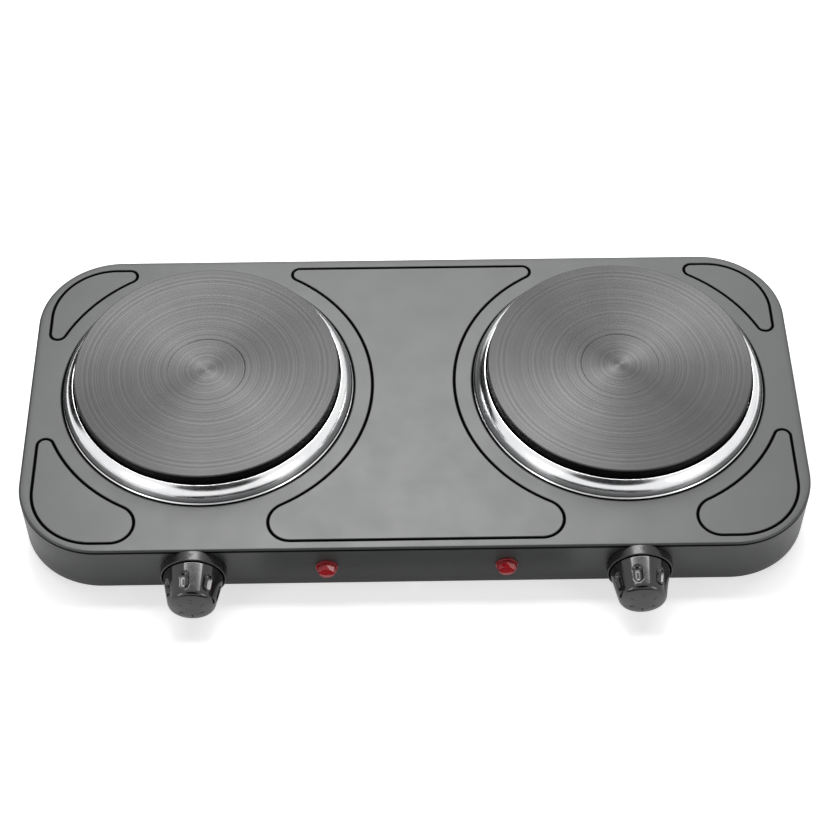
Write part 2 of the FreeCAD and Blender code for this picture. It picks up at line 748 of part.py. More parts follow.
def plate_nut():
    """Hexagon nut under the strap."""
    seat = bridge_seat()
    return hexagon(NUT_FLATS, seat - NUT_H, seat).cut(rod(STUD_R + RUN_GAP, seat - NUT_H, seat))


# ---------------------------------------------------------------- knob and spindle (wall frame)
def d_bar(radius, flat, z0, z1):
    """Round bar with one flat above its axis."""
    return rod(radius, z0, z1).common(box(-radius, radius, -radius, flat, z0, z1))


def flute_cutter(turn):
    """Cutter with a ball at both ends that follows the knob's taper and leaves an oval scoop."""
    taper = (KNOB_TIP_R - KNOB_SKIRT_R) / (KNOB_TIP_L - KNOB_SKIRT_TOP)
    radii = [KNOB_SKIRT_R + taper * (at - KNOB_SKIRT_TOP) + FLUTE_OUT for at in (FLUTE_START, FLUTE_END)]
    start = V(0, radii[0], FLUTE_START)
    end = V(0, radii[1], FLUTE_END)
    cutter = Part.makeCylinder(FLUTE_R, (end - start).Length, start, end - start)
    cutter = cutter.fuse([Part.makeSphere(FLUTE_R, middle) for middle in (start, end)])
    cutter.rotate(V(0, 0, 0), UP, turn)
    return cutter


def dome_middle(rim_r, rim_z, crown_z):
    """Half-way point of a dome's profile, on the sphere that has its centre on the axis."""
    height = crown_z - rim_z
    sphere_r = (rim_r ** 2 + height ** 2) / (2 * height)
    half = math.asin(rim_r / sphere_r) / 2
    return sphere_r * math.sin(half), crown_z - sphere_r * (1 - math.cos(half))


def knob():
    """Fluted, tapered knob with a domed face and a hub bored for the spindle's flat."""
    points = {name: V(r, 0, z) for name, (r, z) in {
        "axis_back": (0, KNOB_BACK), "back": (KNOB_SKIRT_R, KNOB_BACK),
        "skirt": (KNOB_SKIRT_R, KNOB_SKIRT_TOP), "tip": (KNOB_TIP_R, KNOB_TIP_L),
        "round": KNOB_ROUND, "face": KNOB_FACE, "dome": dome_middle(*KNOB_FACE, KNOB_REACH),
        "front": (0, KNOB_REACH)}.items()}
    edges = [Part.makeLine(points["axis_back"], points["back"]),
             Part.makeLine(points["back"], points["skirt"]),
             Part.makeLine(points["skirt"], points["tip"]),
             arc(points["tip"], points["round"], points["face"]),
             arc(points["face"], points["dome"], points["front"]),
             Part.makeLine(points["front"], points["axis_back"])]
    body = turned(edges)
    hollow = turned_polygon([(KNOB_HUB_R, KNOB_BACK), (KNOB_HOLLOW_R, KNOB_BACK),
                             (KNOB_HOLLOW_TIP_R, KNOB_HOLLOW_TOP), (KNOB_HUB_R, KNOB_HOLLOW_TOP)])
    bore = d_bar(SPINDLE_R + RUN_GAP, KNOB_FLAT, KNOB_BACK, SPINDLE_TOP + FREE_GAP)
    flutes = [flute_cutter(FLUTE_TURN + k * 360 / FLUTES) for k in range(FLUTES)]
    return body.cut([hollow, bore] + flutes)


def knob_spring():
    """Flat leaf between the spindle's flat and the hub, which grips the knob."""
    gap = (KNOB_FLAT - SPINDLE_FLAT - SPRING_T) / 2
    low = SPINDLE_FLAT + gap
    return box(-SPRING_W / 2, SPRING_W / 2, low, low + SPRING_T, FLAT_START + 1, SPINDLE_TOP - 1)


def knob_collar():
    """Moulded bezel on the wall: flange, ring round the knob's skirt and a raised pointer."""
    shape = turned_polygon([(SPINDLE_HOLE_R, 0), (COLLAR_R, 0), (COLLAR_R, COLLAR_H - COLLAR_EDGE),
                            (COLLAR_R - COLLAR_EDGE, COLLAR_H), (COLLAR_BORE_R, COLLAR_H),
                            (COLLAR_BORE_R, COLLAR_FLANGE_T), (SPINDLE_HOLE_R, COLLAR_FLANGE_T)])
    holes = [rod(REGULATOR_HOLE_R, 0, COLLAR_FLANGE_T, s * REGULATOR_PITCH / 2) for s in (-1, 1)]
    low = COLLAR_R - POINTER_T
    base = [V(-POINTER_W / 2, low, POINTER_START), V(POINTER_W / 2, low, POINTER_START)]
    tip = V(0, low, POINTER_START + POINTER_L)
    pointer = Part.Face(Part.makePolygon(base + [tip, base[0]])).extrude(V(0, POINTER_T + RUN_GAP, 0))
    return shape.cut(holes).fuse(pointer).removeSplitter()


def spindle():
    """Steel regulator shaft: flats for the knob and the cam, and a thin rear journal."""
    shaft = rod(SPINDLE_R, BLADE_IN + 1, SPINDLE_TOP)
    flats = [box(-SPINDLE_R, SPINDLE_R, SPINDLE_FLAT, SPINDLE_R, z0, z1)
             for z0, z1 in ((FLAT_START, SPINDLE_TOP), (CAM_FRONT - CAM_T - FREE_GAP, CAM_FRONT + FREE_GAP))]
    return shaft.cut(flats).fuse(rod(JOURNAL_R, CASE_BACK, BLADE_IN + 1)).removeSplitter()


def cam_radius(angle):
    """Snail cam: radius grows evenly over the knob's travel, then drops back before a full turn."""
    if angle <= CAM_RETURN_START:
        return CAM_R + CAM_LIFT * angle / KNOB_TRAVEL_DEG
    peak = CAM_R + CAM_LIFT * CAM_RETURN_START / KNOB_TRAVEL_DEG
    fall = min(1.0, (angle - CAM_RETURN_START) / (CAM_RETURN_END - CAM_RETURN_START))
    return peak + (CAM_R - peak) * (1 - math.cos(math.pi * fall)) / 2


def cam():
    """Snail cam keyed on the spindle; its low point faces down at rest."""
    points = []
    for k in range(CAM_STEPS):
        angle = 360.0 * k / CAM_STEPS
        turn = math.radians(angle)
        points.append(V(math.sin(turn), -math.cos(turn), 0) * cam_radius(angle))
    curve = Part.BSplineCurve()
    curve.interpolate(Points=points, PeriodicFlag=True)
    disc = Part.Face(Part.Wire(curve.toShape())).extrude(V(0, 0, CAM_T))
    disc = moved(disc, 0, 0, CAM_FRONT - CAM_T)
    keyway = d_bar(SPINDLE_R + RUN_GAP, SPINDLE_FLAT + RUN_GAP, CAM_FRONT - CAM_T, CAM_FRONT)
    return disc.cut(keyway)


# ---------------------------------------------------------------- regulator (wall frame)
def regulator_body():
    """Moulded case, open at the top, with bushings for the spindle and the lever's pin."""
    front = -SHEET
    case = box(-CASE_HALF_W, CASE_HALF_W, CASE_LOW, CASE_HIGH, CASE_BACK, front)
    room = box(-CASE_HALF_W + CASE_WALL, CASE_HALF_W - CASE_WALL, CASE_LOW + CASE_WALL, CASE_HIGH,
               CASE_BACK + CASE_WALL, front - CASE_FRONT_T)
    cuts = [room, rod(SPINDLE_R + RUN_GAP, front - CASE_FRONT_T, front),
            rod(JOURNAL_R + RUN_GAP, CASE_BACK, CASE_BACK + CASE_WALL),
            rod(PIVOT_R + RUN_GAP / 2, PIVOT_BACK, PIVOT_FRONT, LEVER_ARM, -LEVER_DROP)]
    cuts += [rod(REGULATOR_SCREW_R + RUN_GAP, REGULATOR_SCREW_END - FREE_GAP, front, s * REGULATOR_PITCH / 2)
             for s in (-1, 1)]
    slot = BLADE_W / 2 + RUN_GAP
    cuts += [box(x - slot, x + slot, BLADE_H - RUN_GAP, BLADE_H + BLADE_T + RUN_GAP,
                 CASE_BACK, CASE_BACK + CASE_WALL) for x in BLADE_XS]
    return case.cut(cuts)


def regulator_screws():
    """Pair of screws through the collar and the wall into the regulator's case."""
    screw = pan_screw(REGULATOR_SCREW_R, REGULATOR_SCREW_HEAD_R, REGULATOR_SCREW_HEAD_T,
                      COLLAR_FLANGE_T - REGULATOR_SCREW_END)
    screw.rotate(V(0, 0, 0), V(1, 0, 0), 180)
    return [moved(screw, s * REGULATOR_PITCH / 2, 0, COLLAR_FLANGE_T) for s in (-1, 1)]


def cam_follower():
    """Balanced lever under the cam: hub on the pin, rounded nose that rides the cam, switch tail."""
    mid = CAM_FRONT - CAM_T / 2
    z0, z1 = mid - LEVER_W / 2, mid + LEVER_W / 2
    nose_y = -(CAM_R + CAM_GAP + NOSE_R)
    tail = 2 * LEVER_ARM
    arm = box(-NOSE_R, tail + NOSE_R, -LEVER_DROP - LEVER_T / 2, -LEVER_DROP + LEVER_T / 2, z0, z1)
    parts = [arm, rod(HUB_R, z0, z1, LEVER_ARM, -LEVER_DROP)]
    for x in (0, tail):
        parts.append(box(x - NOSE_R, x + NOSE_R, -LEVER_DROP, nose_y, z0, z1))
        parts.append(rod(NOSE_R, z0, z1, x, nose_y))
    return fuse_all(parts).cut(rod(PIVOT_R + RUN_GAP, z0, z1, LEVER_ARM, -LEVER_DROP))


def follower_pin():
    """Steel pin held at both ends in the regulator's case."""
    return rod(PIVOT_R, PIVOT_BACK + FREE_GAP, PIVOT_FRONT - FREE_GAP, LEVER_ARM, -LEVER_DROP)


def bimetal():
    """Bent bimetal leaf above the cam, with its foot against the case's side."""
    z0 = CAM_FRONT - CAM_T / 2 - BIMETAL_W / 2
    z1 = z0 + BIMETAL_W
    left = -CASE_HALF_W + CASE_WALL
    leaf = box(left, BIMETAL_END, BIMETAL_H, BIMETAL_H + BIMETAL_T, z0, z1)
    foot = box(left, left + BIMETAL_T, BIMETAL_H - BIMETAL_FOOT, BIMETAL_H, z0, z1)
    rivet = rod(BIMETAL_W / 3, 0, BIMETAL_T * 2)
    rivet.rotate(V(0, 0, 0), V(1, 0, 0), -90)
    rivet = moved(rivet, BIMETAL_END - BIMETAL_W / 2, BIMETAL_H + BIMETAL_T, (z0 + z1) / 2)
    return fuse_all([leaf, foot, rivet])


def regulator_terminals():
    """Brass blade terminals through the case's rear wall."""
    return group([box(x - BLADE_W / 2, x + BLADE_W / 2, BLADE_H, BLADE_H + BLADE_T, BLADE_OUT, BLADE_IN)
                  for x in BLADE_XS])


# ---------------------------------------------------------------- lamps and cord entry (wall frame)
def lamp_lens():
    """Red moulded lens: faceted dome on a flange, and a hollow barrel through the wall."""
    def ring(radius, level):
        corners = [V(radius * math.cos(math.radians((k + 0.5) * 360 / LENS_FACETS)),
                     radius * math.sin(math.radians((k + 0.5) * 360 / LENS_FACETS)), level)
                   for k in range(LENS_FACETS + 1)]
        return Part.makePolygon(corners)
    rings = [ring(LENS_R - LENS_MARGIN, LENS_FLANGE_T), ring(*LENS_WAIST), ring(LENS_TOP_R, LENS_REACH)]
    dome = Part.makeLoft(rings, True, True)
    body = fuse_all([rod(LENS_R, 0, LENS_FLANGE_T), dome, rod(LENS_BARREL_R, LENS_BACK, 0)])
    return body.cut(rod(LENS_BORE_R, LENS_BACK, LENS_FLANGE_T))


def lamp_clip():
    """Push-on spring washer on the lens's barrel, behind the wall."""
    return tube(CLIP_R, LENS_BARREL_R + RUN_GAP, -SHEET - CLIP_T, -SHEET)


def lamp_neon():
    """Neon bulb in the lens's barrel."""
    return rod(NEON_R, NEON_BACK, -NEON_R).fuse(Part.makeSphere(NEON_R, V(0, 0, -NEON_R))).removeSplitter()


def cord_gland():
    """Moulded cord bush: outside flange and nose, threaded barrel through the wall."""
    return turned_polygon([(GLAND_BORE_R, -GLAND_INSIDE), (GLAND_HOLE_R - FREE_GAP, -GLAND_INSIDE),
                           (GLAND_HOLE_R - FREE_GAP, 0), (GLAND_FLANGE_R, 0),
                           (GLAND_FLANGE_R, GLAND_FLANGE_T),
                           (GLAND_NOSE_R + GLAND_NOSE_TAPER, GLAND_FLANGE_T),
                           (GLAND_NOSE_R, GLAND_REACH), (GLAND_BORE_R, GLAND_REACH)])


def gland_nut():
    """Hexagon lock nut behind the rear wall."""
    low = -SHEET - GLAND_NUT_T
    return hexagon(GLAND_NUT_FLATS, low, -SHEET).cut(rod(GLAND_HOLE_R - RUN_GAP, low, -SHEET))


# ---------------------------------------------------------------- terminal block and earth screw
def way_screw_places():
    """Plan positions of the two clamp screws over each way of the block."""
    return [(x, BLOCK_Y + at) for x in BLOCK_WAYS for at in (CLAMP_SCREW_INSET, BLOCK_D - CLAMP_SCREW_INSET)]


def terminal_block():
    """Ceramic block with a row of wire ways and a screw hole through its middle."""
    top = WALL_Z + BLOCK_H
    clear = WALL_Z + BOSS_H + FREE_GAP
    block = box(-BLOCK_HALF_W, BLOCK_HALF_W, BLOCK_Y, BLOCK_Y + BLOCK_D, WALL_Z, top)
    cuts = [Part.makeCylinder(BLOCK_WAY_R, BLOCK_D, V(x, BLOCK_Y, BLOCK_WAY_Z), V(0, 1, 0))
            for x in BLOCK_WAYS]
    cuts += [rod(CLAMP_SCREW_R + RUN_GAP, BLOCK_WAY_Z, top, x, y) for x, y in way_screw_places()]
    centre = (0, BLOCK_Y + BLOCK_D / 2)
    cuts += [rod(BLOCK_SCREW_R + FREE_GAP, WALL_Z, top, *centre),
             rod(BOSS_R + FREE_GAP, WALL_Z, clear, *centre)]
    return block.cut(cuts)


def terminal_screws():
    """Clamp screws of the block."""
    top = WALL_Z + BLOCK_H
    low = BLOCK_WAY_Z + LEAD_R
    half = SCREW_SLOT_W / 2
    slot = box(-CLAMP_SCREW_R, CLAMP_SCREW_R, -half, half, top - SCREW_SLOT_D, top)
    screw = rod(CLAMP_SCREW_R, low, top).cut(slot)
    return group([moved(screw, x, y) for x, y in way_screw_places()])


def block_screw():
    """Screw that holds the block to the base plate."""
    screw = pan_screw(BLOCK_SCREW_R, BLOCK_SCREW_R * 1.8, BLOCK_SCREW_R, BLOCK_H - RUN_GAP)
    screw.rotate(V(0, 0, 0), V(1, 0, 0), 180)
    return moved(screw, 0, BLOCK_Y + BLOCK_D / 2, WALL_Z + BLOCK_H)


def earth_screw():
    """Earth screw and its ring tag on the base plate."""
    screw = pan_screw(EARTH_R, EARTH_HEAD_R, EARTH_HEAD_T, EARTH_TOP - BASE_Z)
    screw.rotate(V(0, 0, 0), V(1, 0, 0), 180)
    return moved(screw, EARTH_X, EARTH_Y, EARTH_TOP - EARTH_HEAD_T)


# ---------------------------------------------------------------- internal leads
def blade_end(side, blade_x):
    """Place behind a regulator blade where its lead is pushed on."""
    return V(side * (KNOB_X + blade_x), FRONT_Y - BLADE_OUT, KNOB_Z + BLADE_H + BLADE_T / 2)


def pin_end(side, which):
    """Lower end of one of the coil's pins."""
    x, y = coil_ends(side)[which]
    return V(side * RING_X + x, PLATE_Y + y, PIN_END_Z)


def route(s, points):
    """Route points mirrored to one side."""
    return [V(s * x, y, z) for x, y, z in points]


def block_entry(s, last_point):
    """Where a lead enters the block, in line with the route point beside it."""
    x, _, _ = last_point
    return V(s * x, BLOCK_Y, BLOCK_WAY_Z)


def supply_leads():
    """One lead from the block to each regulator."""
    leads = []
    for _, s in SIDES:
        end = blade_end(s, BLADE_XS[0])
        points = [block_entry(s, SUPPLY_ROUTE[0])] + route(s, SUPPLY_ROUTE) + [end + V(0, BLADE_RUN, 0), end]
        leads.append(sweep_round(points, LEAD_R))
    return group(leads)


def plate_leads(s):
    """Leads of one hotplate: regulator to the outer pin, inner pin to the block."""
    blade = blade_end(s, BLADE_XS[2])
    outer, inner = pin_end(s, 0), pin_end(s, 1)
    from_blade, to_pin, under_pin = route(s, SWITCHED_RISE)
    switched = [blade, blade + V(0, BLADE_RUN, 0), blade + from_blade,
                outer + to_pin, outer + under_pin, outer]
    neutral = [inner, inner - V(0, 0, NEUTRAL_DROP)] + route(s, NEUTRAL_ROUTE)
    neutral.append(block_entry(s, NEUTRAL_ROUTE[-1]))
    return group([sweep_round(switched, LEAD_R), sweep_round(neutral, LEAD_R)])


def lamp_leads(s):
    """Leads of one lamp: to the regulator's middle blade, and to the block."""
    blade = blade_end(s, BLADE_XS[1])
    back = FRONT_Y - NEON_BACK
    pair = NEON_R / 2
    lamp_run, blade_run = LAMP_LIVE_RUNS
    back_run, fall = LAMP_NEUTRAL_RUN
    live_start = V(s * (LAMP_X + pair), back, LAMP_Z)
    neutral_start = V(s * (LAMP_X - pair), back, LAMP_Z)
    live = [live_start, live_start + V(0, lamp_run, 0)] + route(s, LAMP_LIVE_ROUTE)
    live += [blade + V(s, blade_run, 0), blade]
    neutral = [neutral_start, neutral_start + V(0, back_run, fall)] + route(s, LAMP_NEUTRAL_ROUTE)
    neutral.append(block_entry(s, LAMP_NEUTRAL_ROUTE[-1]))
    return group([sweep_round(live, LAMP_LEAD_R), sweep_round(neutral, LAMP_LEAD_R)])


# ---------------------------------------------------------------- assembly
def side_nodes(name, s):
    """Named pieces of the left or right half."""
    nodes = {}
    plate = {"trim_ring": trim_ring(), "hotplate": hotplate(s), "heating_coil": heating_coil(s),
             "coil_cement": coil_cement(s), "heat_shield": heat_shield(s),
             "clamp_bridge": clamp_bridge(), "plate_stud": plate_stud()}
    for part, shape in plate.items():
        nodes[name + "_" + part] = moved(shape, s * RING_X, PLATE_Y, TOP_Z)
    control = {"knob": knob(), "knob_spring": knob_spring(), "knob_collar": knob_collar(),
               "spindle": spindle(), "cam": cam(), "regulator_body": regulator_body(),
               "cam_follower": cam_follower(), "bimetal": bimetal(),
               "regulator_terminals": regulator_terminals()}
    for part, shape in control.items():
        nodes[name + "_" + part] = on_front(shape, s * KNOB_X, KNOB_Z)
    for part, shape in {"lamp_lens": lamp_lens(), "lamp_neon": lamp_neon()}.items():
        nodes[name + "_" + part] = on_front(shape, s * LAMP_X, LAMP_Z)
    nodes[name + "_plate_leads"] = plate_leads(s)
    nodes[name + "_lamp_leads"] = lamp_leads(s)
    return nodes


def shared_nodes():
    """Named pieces that both halves share, and the grouped fasteners."""
    sides = [s for _, s in SIDES]
    return {
        "top_housing": top_housing(), "base_plate": base_plate(), "base_screws": base_screws(),
        "rubber_feet": rubber_feet(), "foot_screws": foot_screws(),
        "plate_nuts": group([moved(plate_nut(), s * RING_X, PLATE_Y, TOP_Z) for s in sides]),
        "regulator_screws": group([on_front(screw, s * KNOB_X, KNOB_Z)
                                   for s in sides for screw in regulator_screws()]),
        "follower_pins": group([on_front(follower_pin(), s * KNOB_X, KNOB_Z) for s in sides]),
        "lamp_clips": group([on_front(lamp_clip(), s * LAMP_X, LAMP_Z) for s in sides]),
        "cord_gland": on_back(cord_gland(), 0, GLAND_Z), "gland_nut": on_back(gland_nut(), 0, GLAND_Z),
        "terminal_block": terminal_block(), "terminal_screws": terminal_screws(),
        "block_screw": block_screw(), "earth_screw": earth_screw(), "supply_leads": supply_leads()}


def main():
    """Builds every node and writes it to its own file."""
    os.makedirs("parts", exist_ok=True)
    nodes = shared_nodes()
    for name, s in SIDES:
        nodes.update(side_nodes(name, s))
    for name, shape in nodes.items():
        print(f"{name}: {len(shape.Solids)} solid(s), {shape.Volume / 1000:.2f} cm3, valid {shape.isValid()}")
        shape.exportStep("parts/" + name + ".step")


main()
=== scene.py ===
import json
import logging
import math
from dataclasses import dataclass, field
from enum import Enum
from typing import ClassVar, Sequence

import bpy
import numpy as np
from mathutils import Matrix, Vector
from mathutils.geometry import delaunay_2d_cdt


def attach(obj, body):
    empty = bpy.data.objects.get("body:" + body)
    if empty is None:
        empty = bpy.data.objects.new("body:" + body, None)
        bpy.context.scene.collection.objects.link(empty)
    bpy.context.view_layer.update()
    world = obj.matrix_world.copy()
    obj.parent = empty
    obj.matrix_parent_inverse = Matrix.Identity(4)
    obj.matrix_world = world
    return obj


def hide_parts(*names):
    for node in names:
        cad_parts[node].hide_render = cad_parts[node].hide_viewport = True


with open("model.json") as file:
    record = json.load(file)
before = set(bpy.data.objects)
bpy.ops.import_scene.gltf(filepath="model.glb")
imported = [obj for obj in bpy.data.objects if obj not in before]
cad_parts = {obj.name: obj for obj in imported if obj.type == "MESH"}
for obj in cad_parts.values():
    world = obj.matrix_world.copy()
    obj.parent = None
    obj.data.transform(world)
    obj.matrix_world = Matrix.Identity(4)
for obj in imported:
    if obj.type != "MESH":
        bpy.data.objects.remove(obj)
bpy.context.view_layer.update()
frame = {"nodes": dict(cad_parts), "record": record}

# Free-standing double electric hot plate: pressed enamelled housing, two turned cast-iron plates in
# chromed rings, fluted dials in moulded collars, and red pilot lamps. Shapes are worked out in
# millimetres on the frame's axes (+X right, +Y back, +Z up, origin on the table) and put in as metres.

log = logging.getLogger("hot_plate")

MM = 0.001
WELD_MM = 0.0005
UV_NAME = "profile_map"
RAY_BATCH = 2000
STUDIO_SHARP_DEG = 30.0
# A finish with less metallic than this isn't a metal, and has a refractive index.
METAL = 0.5
# Colour inputs and colour output of a Mix node, by number.
MIX_A, MIX_B, MIX_COLOUR = 6, 7, 2

BODY_Y = 11.5
FRONT_Y = -117.0
BACK_Y = 140.0
TOP_Z = 50.0
RING_X = 144.6
PLATE_Y = 22.2
KNOB_X = 150.0
KNOB_Z = 27.7
LAMP_X = 60.5
LAMP_Z = 29.0
GLAND_Z = 25.0


class Side(Enum):
    """Left or right half of the hot plate, with the sign of its X."""
    LEFT = -1
    RIGHT = 1

    @property
    def word(self) -> str:
        """Name of the side, as the frame's nodes use it."""
        return self.name.lower()


class Body(Enum):
    """Rigid bodies of the frame."""
    CASING = "casing"
    LEFT_DIAL = "left_dial"
    RIGHT_DIAL = "right_dial"


# ------------------------------------------------------------------ profiles and patches
def rounded(corners: Sequence[tuple[float, float]], radii: list[float], closed: bool = True,
            step_deg: float = 15.0) -> np.ndarray:
    """Polyline whose corners are replaced by tangent arcs.

    An arc of radius r touches both legs at r / tan(half the corner's angle) from the corner, and its
    centre lies on the bisector at r / sin(half the angle).

    Args:
        corners: the polyline's corners, in order.
        radii: one radius per corner, 0 for a sharp one.
        closed: whether the last corner joins the first.
        step_deg: the largest turn between two points of an arc.

    Returns:
        Points as an (n, 2) array.
    """
    points = np.asarray(corners, float)
    count = len(points)
    runs = []
    for i, radius in enumerate(radii):
        corner = points[i]
        if radius <= 0 or (not closed and i in (0, count - 1)):
            runs.append(corner[None])
            continue
        into = points[i - 1] - corner
        out = points[(i + 1) % count] - corner
        into = into / np.linalg.norm(into)
        out = out / np.linalg.norm(out)
        half = math.acos(float(np.clip(into @ out, -1, 1))) / 2
        bisector = (into + out) / np.linalg.norm(into + out)
        centre = corner + bisector * radius / math.sin(half)
        start = corner + into * radius / math.tan(half) - centre
        end = corner + out * radius / math.tan(half) - centre
        turn = math.atan2(start[0] * end[1] - start[1] * end[0], float(start @ end))
        steps = max(2, math.ceil(abs(math.degrees(turn)) / step_deg - 1e-6))
        angles = math.atan2(start[1], start[0]) + turn * np.linspace(0, 1, steps + 1)
        runs.append(centre + radius * np.stack([np.cos(angles), np.sin(angles)], -1))
    return np.concatenate(runs)


@dataclass
class Patch:
    """Part of a surface: points (n, 3), faces (m, 4) and, where a finish needs it, uv (n, 2).

    A triangle is a face whose last corner is repeated.
    """
    points: np.ndarray
    faces: np.ndarray
    uv: np.ndarray | None = None

    def moved(self, x: float = 0.0, y: float = 0.0, z: float = 0.0) -> "Patch":
        """Copy shifted by x, y and z."""
        return Patch(self.points + np.array([x, y, z]), self.faces, self.uv)

    def on_front(self, x: float, z: float) -> "Patch":
        """Copy turned from the wall frame (x right, y up, z out) to the front wall at x, z."""
        px, py, pz = self.points.T
        return Patch(np.stack([x + px, FRONT_Y - pz, z + py], -1), self.faces, self.uv)

    def on_back(self, x: float, z: float) -> "Patch":
        """Copy turned from the wall frame to the rear wall at x, z."""
        px, py, pz = self.points.T
        return Patch(np.stack([x + px, BACK_Y + pz, z - py], -1), self.faces, self.uv)


def grid_patch(points: np.ndarray, uv: np.ndarray | None = None, flip: bool = False) -> Patch:
    """Patch over a grid of points (rows, columns, 3), one face per cell.

    A face runs along the columns first, so its front is on the side of column x row.

    Args:
        points: the grid.
        uv: (rows, columns, 2), where a finish needs it.
        flip: whether the faces point the other way.

    Returns:
        The patch.
    """
    rows, columns = points.shape[:2]
    index = np.arange(rows * columns).reshape(rows, columns)
    a, b, c, d = index[:-1, :-1], index[:-1, 1:], index[1:, 1:], index[1:, :-1]
    faces = np.stack([a, b, c, d], -1).reshape(-1, 4)
    flat_uv = None if uv is None else uv.reshape(-1, 2)
    return Patch(points.reshape(-1, 3), faces[:, ::-1] if flip else faces, flat_uv)


def lathe(profile: np.ndarray, segments: int, close: bool = True) -> Patch:
    """Surface of revolution about Z.

    Point(turn, s) = (r(s) cos turn, r(s) sin turn, z(s)). The profile goes counter-clockwise round
    the solid in the (r, z) plane, so the faces point outwards. UV is (turn / full turn, length along
    the profile in millimetres).

    Args:
        profile: (n, 2) array of radius and height.
        segments: faces round the axis.
        close: whether the profile's last point joins its first.

    Returns:
        The patch, with its seam still doubled.
    """
    line = np.vstack([profile, profile[:1]]) if close else profile
    share = np.linspace(0, 1, segments + 1)
    turn = 2 * np.pi * share
    turn[-1] = 0.0
    length = np.concatenate([[0], np.cumsum(np.linalg.norm(np.diff(line, axis=0), axis=1))])
    radius, height = line[:, :1], line[:, 1:]
    points = np.stack([radius * np.cos(turn), radius * np.sin(turn),
                       np.broadcast_to(height, (len(line), segments + 1))], -1)
    uv = np.stack(np.broadcast_arrays(share[None], length[:, None]), -1)
    return grid_patch(points, uv)


def as_faces(triangles: np.ndarray) -> np.ndarray:
    """Triangles (m, 3) as faces (m, 4), each with its last corner repeated."""
    return np.concatenate([triangles, triangles[:, 2:]], 1)


def joined(patches: list[Patch]) -> Patch:
    """One patch from several, without merging their points.

    Args:
        patches: the patches, in order.

    Returns:
        All of them together, with UV only where every patch has it.
    """
    starts = np.cumsum([0] + [len(p.points) for p in patches[:-1]])
    points = np.concatenate([p.points for p in patches])
    faces = np.concatenate([p.faces + s for p, s in zip(patches, starts)])
    has_uv = all(p.uv is not None for p in patches)
    return Patch(points, faces, np.concatenate([p.uv for p in patches]) if has_uv else None)


def inside_loops(points: np.ndarray, loops: list[np.ndarray]) -> np.ndarray:
    """Whether each point is inside an odd number of closed loops.

    A point is inside where a ray from it towards +X crosses the loops' edges an odd number of times.

    Args:
        points: (n, 2) array.
        loops: closed polylines, each (k, 2).

    Returns:
        Boolean array of length n.
    """
    start = np.concatenate(loops)
    end = np.concatenate([np.roll(loop, -1, axis=0) for loop in loops])
    found = np.zeros(len(points), int)
    for at in range(0, len(points), RAY_BATCH):
        batch = slice(at, at + RAY_BATCH)
        x, y = points[batch, :1], points[batch, 1:]
        spans = (start[:, 1] > y) != (end[:, 1] > y)
        rise = np.where(end[:, 1] == start[:, 1], 1.0, end[:, 1] - start[:, 1])
        cross = start[:, 0] + (y - start[:, 1]) * (end[:, 0] - start[:, 0]) / rise
        found[batch] = (spans & (cross > x)).sum(1)
    return found % 2 == 1


def filled(loops: list[np.ndarray], spacing: float, clearance: float) -> tuple[np.ndarray, np.ndarray]:
    """Flat triangulation between closed loops, with a grid of points inside for even faces.

    Args:
        loops: closed polylines; what is inside an odd number of them is filled.
        spacing: distance between the points of the inner grid.
        clearance: smallest distance from an inner point to a loop.

    Returns:
        Points (n, 2) and counter-clockwise triangles (m, 3).
    """
    edge_points = np.concatenate(loops)
    low, high = edge_points.min(0), edge_points.max(0)
    grid = np.stack(np.meshgrid(np.arange(low[0] + spacing / 2, high[0], spacing),
                                np.arange(low[1] + spacing / 2, high[1], spacing)), -1).reshape(-1, 2)
    grid = grid[inside_loops(grid, loops)]
    gap = np.array([np.min(np.sum((edge_points - p) ** 2, axis=1)) for p in grid]) if len(grid) else []
    grid = grid[np.asarray(gap) > clearance ** 2] if len(grid) else grid
    given = np.concatenate([edge_points, grid])
    edges = []
    start = 0
    for loop in loops:
        edges += [(start + k, start + (k + 1) % len(loop)) for k in range(len(loop))]
        start += len(loop)
    _, _, found, origins, _, _ = delaunay_2d_cdt([Vector(p) for p in given.tolist()], edges, [], 0, 1e-6)
    source = np.array([members[0] for members in origins])
    triangles = source[np.array(found)]
    centres = given[triangles].mean(1)
    triangles = triangles[inside_loops(centres, loops)]
    a, b, c = given[triangles[:, 0]], given[triangles[:, 1]], given[triangles[:, 2]]
    area = (b[:, 0] - a[:, 0]) * (c[:, 1] - a[:, 1]) - (b[:, 1] - a[:, 1]) * (c[:, 0] - a[:, 0])
    triangles[area < 0] = triangles[area < 0][:, ::-1]
    return given, triangles


def circle(x: float, y: float, radius: float, count: int) -> np.ndarray:
    """Closed ring of points about (x, y)."""
    turn = 2 * np.pi * np.arange(count) / count
    return np.stack([x + radius * np.cos(turn), y + radius * np.sin(turn)], -1)


def arc(centre: tuple[float, float], radius: float, first: float, last: float, steps: int) -> np.ndarray:
    """Arc of a section about a point, from one elevation to another in degrees."""
    turn = np.radians(np.linspace(first, last, steps))
    return np.array(centre) + radius * np.stack([np.cos(turn), np.sin(turn)], -1)


